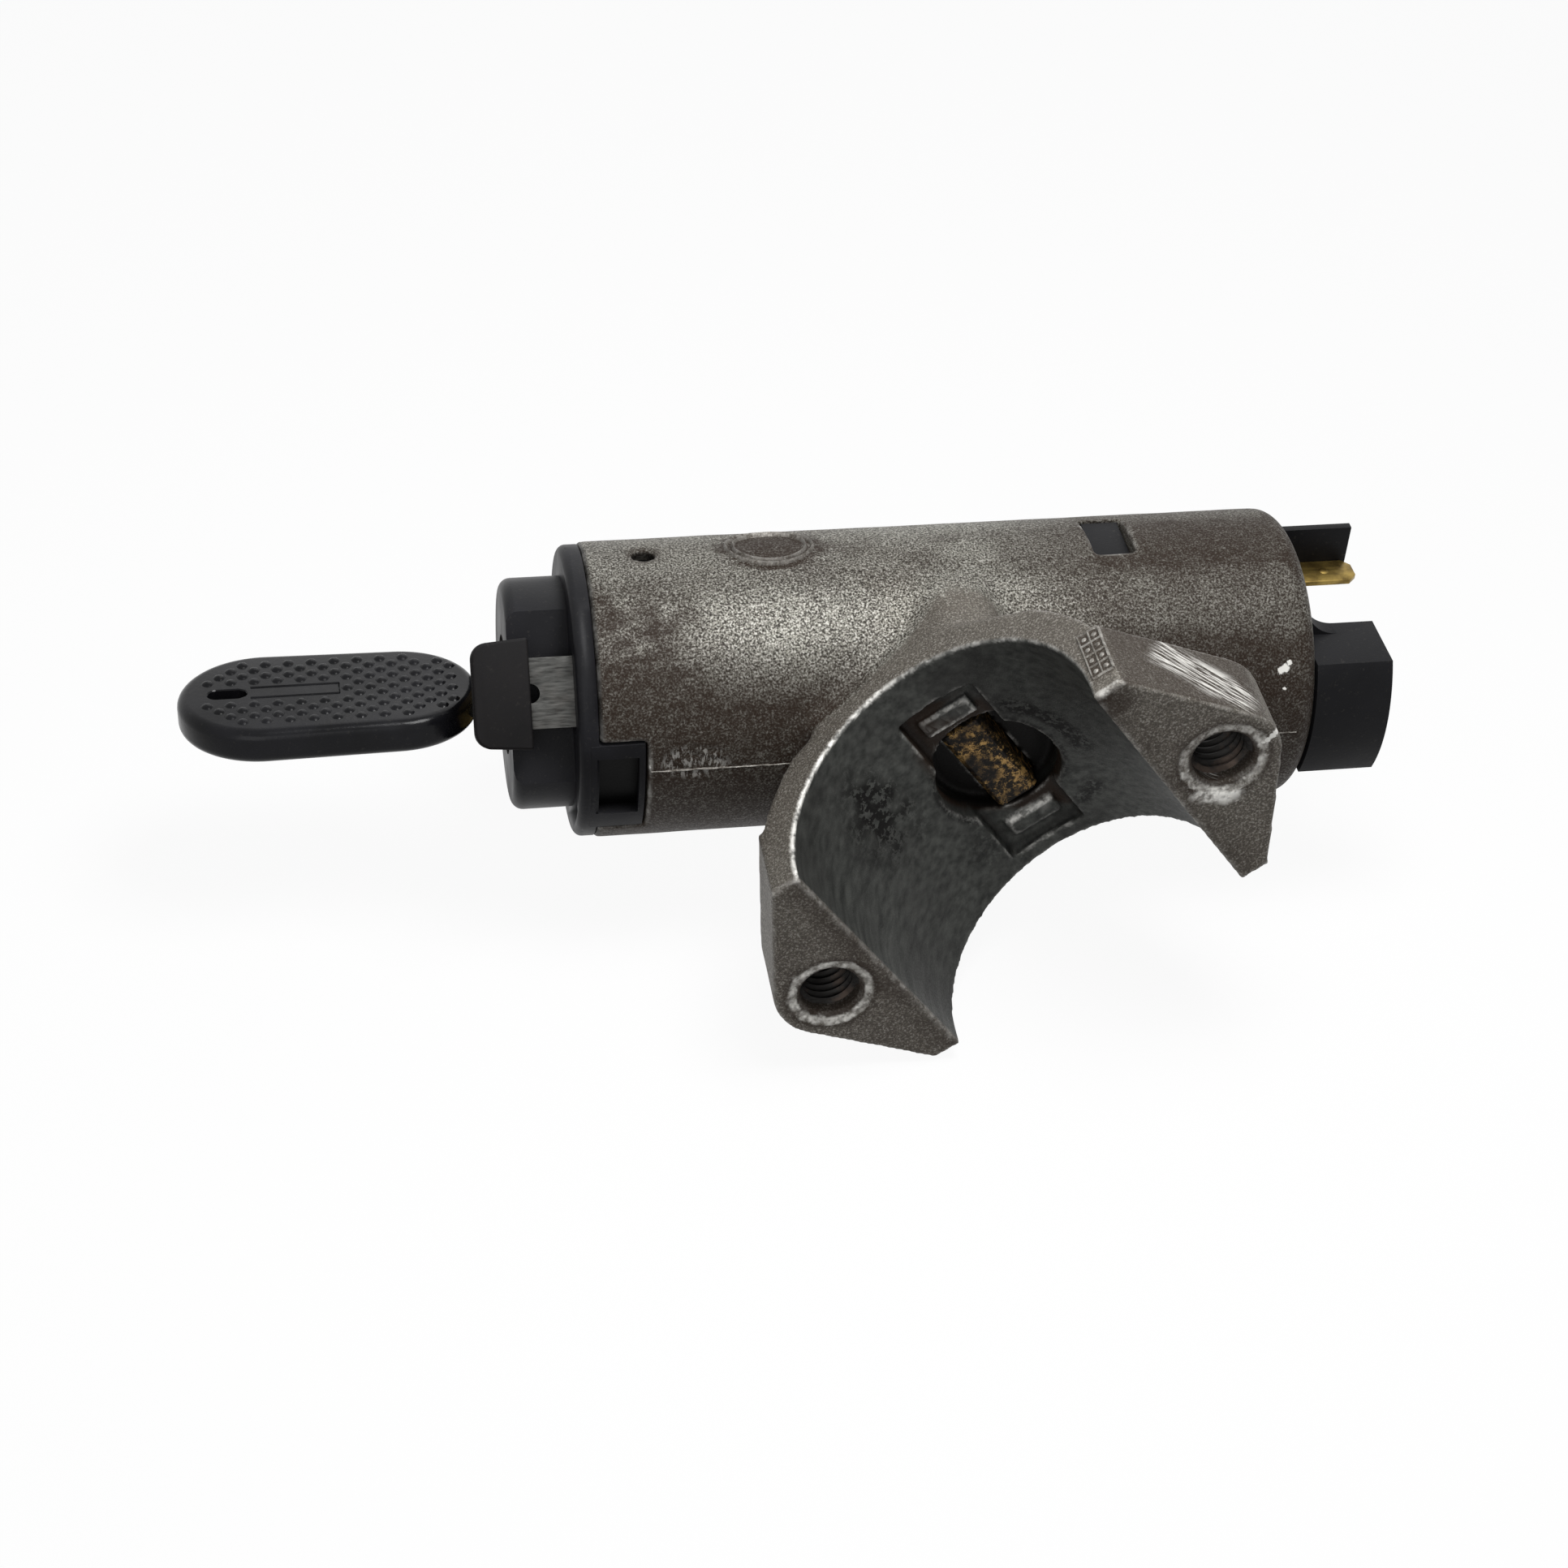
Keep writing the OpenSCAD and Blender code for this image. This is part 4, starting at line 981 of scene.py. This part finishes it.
stageSettings = {"floor": castLow.z - 0.5 * mm, "half": 3.0, "glow": 0.93, "worldStrength": 0.22}
lampSettings = [
    {"name": "overhead", "place": (0.006, -0.006, 0.231), "aim": (-0.028, 0.032, 0.017), "size": 0.1,
     "power": 0.58},
    {"name": "frontFill", "place": (-0.25, -0.45, 0.3), "aim": (0.0, 0.02, 0.0), "size": 0.4, "power": 0.85},
    {"name": "backFill", "place": (0.1, 0.55, 0.4), "aim": (0.0, 0.04, 0.0), "size": 0.4, "power": 0.5},
]


def backgroundRay(tree):
    # 1 for rays that show the white background: the camera's, and those that metal or glass sends on
    path = tree.nodes.new("ShaderNodeLightPath").outputs
    seen = combine(tree, "MAXIMUM", path["Is Camera Ray"], path["Is Glossy Ray"])
    return combine(tree, "MAXIMUM", seen, path["Is Transmission Ray"])


def paleFloor():
    bm = bmesh.new()
    half = stageSettings["half"]
    corners = ((-half, -half), (half, -half), (half, half), (-half, half))
    bm.faces.new([bm.verts.new((x, y, stageSettings["floor"])) for x, y in corners])
    floor = meshObject("floor", bm)
    material = bpy.data.materials.new("paleStudioPaper")
    material.use_nodes = True
    tree = material.node_tree
    tree.nodes.clear()
    seen = backgroundRay(tree)
    plain = addNode(tree, "BsdfDiffuse", {"Color": (0.5, 0.5, 0.5, 1)})
    shown = addNode(tree, "BsdfDiffuse", {"Color": (0.9, 0.9, 0.9, 1)})
    white = addNode(tree, "Emission", {"Color": (1, 1, 1, 1), "Strength": 1.0})
    paper = addNode(tree, "MixShader", {0: stageSettings["glow"], 1: shown, 2: white})
    both = addNode(tree, "MixShader", {0: seen, 1: plain, 2: paper})
    feed(tree, tree.nodes.new("ShaderNodeOutputMaterial"), {"Surface": both})
    floor.data.materials.append(material)


def studioWorld():
    world = bpy.data.worlds.new("studio")
    world.use_nodes = True
    tree = world.node_tree
    tree.nodes.clear()
    seen = backgroundRay(tree)
    strength = stageSettings["worldStrength"]
    dim = addNode(tree, "Background", {"Color": (0.95, 0.97, 1.0, 1), "Strength": strength})
    white = addNode(tree, "Background", {"Color": (1, 1, 1, 1), "Strength": 1.0})
    both = addNode(tree, "MixShader", {0: seen, 1: dim, 2: white})
    feed(tree, tree.nodes.new("ShaderNodeOutputWorld"), {"Surface": both})
    scene.world = world


def softBox(name, place, aim, size, power):
    light = bpy.data.lights.new(name, "AREA")
    light.shape = "SQUARE"
    light.size = size
    light.energy = power
    lamp = bpy.data.objects.new(name, light)
    turn = (Vector(aim) - Vector(place)).to_track_quat("-Z", "Y").to_matrix().to_4x4()
    lamp.matrix_world = Matrix.Translation(place) @ turn
    scene.collection.objects.link(lamp)


paleFloor()
studioWorld()
for lampSetting in lampSettings:
    softBox(**lampSetting)

# Camera: the place and lens that the photo's own lines give
cameraSettings = {"place": (-87.4 * mm, -268.6 * mm, 247.1 * mm), "right": (0.9856, -0.159, 0.0525),
                  "up": (0.0626, 0.6414, 0.7642), "back": (-0.1552, -0.7504, 0.6425), "lens": 66.61}
lens = bpy.data.cameras.new("camera")
lens.sensor_width = 36.0
lens.lens = cameraSettings["lens"]
lens.clip_start = 0.01
camera = bpy.data.objects.new("camera", lens)
turn = Matrix((cameraSettings["right"], cameraSettings["up"], cameraSettings["back"])).transposed()
turn = turn.to_quaternion().to_matrix().to_4x4()
camera.matrix_world = Matrix.Translation(cameraSettings["place"]) @ turn
scene.collection.objects.link(camera)
scene.camera = camera
scene.view_settings.view_transform = "Standard"
print("stage, lights and camera set")
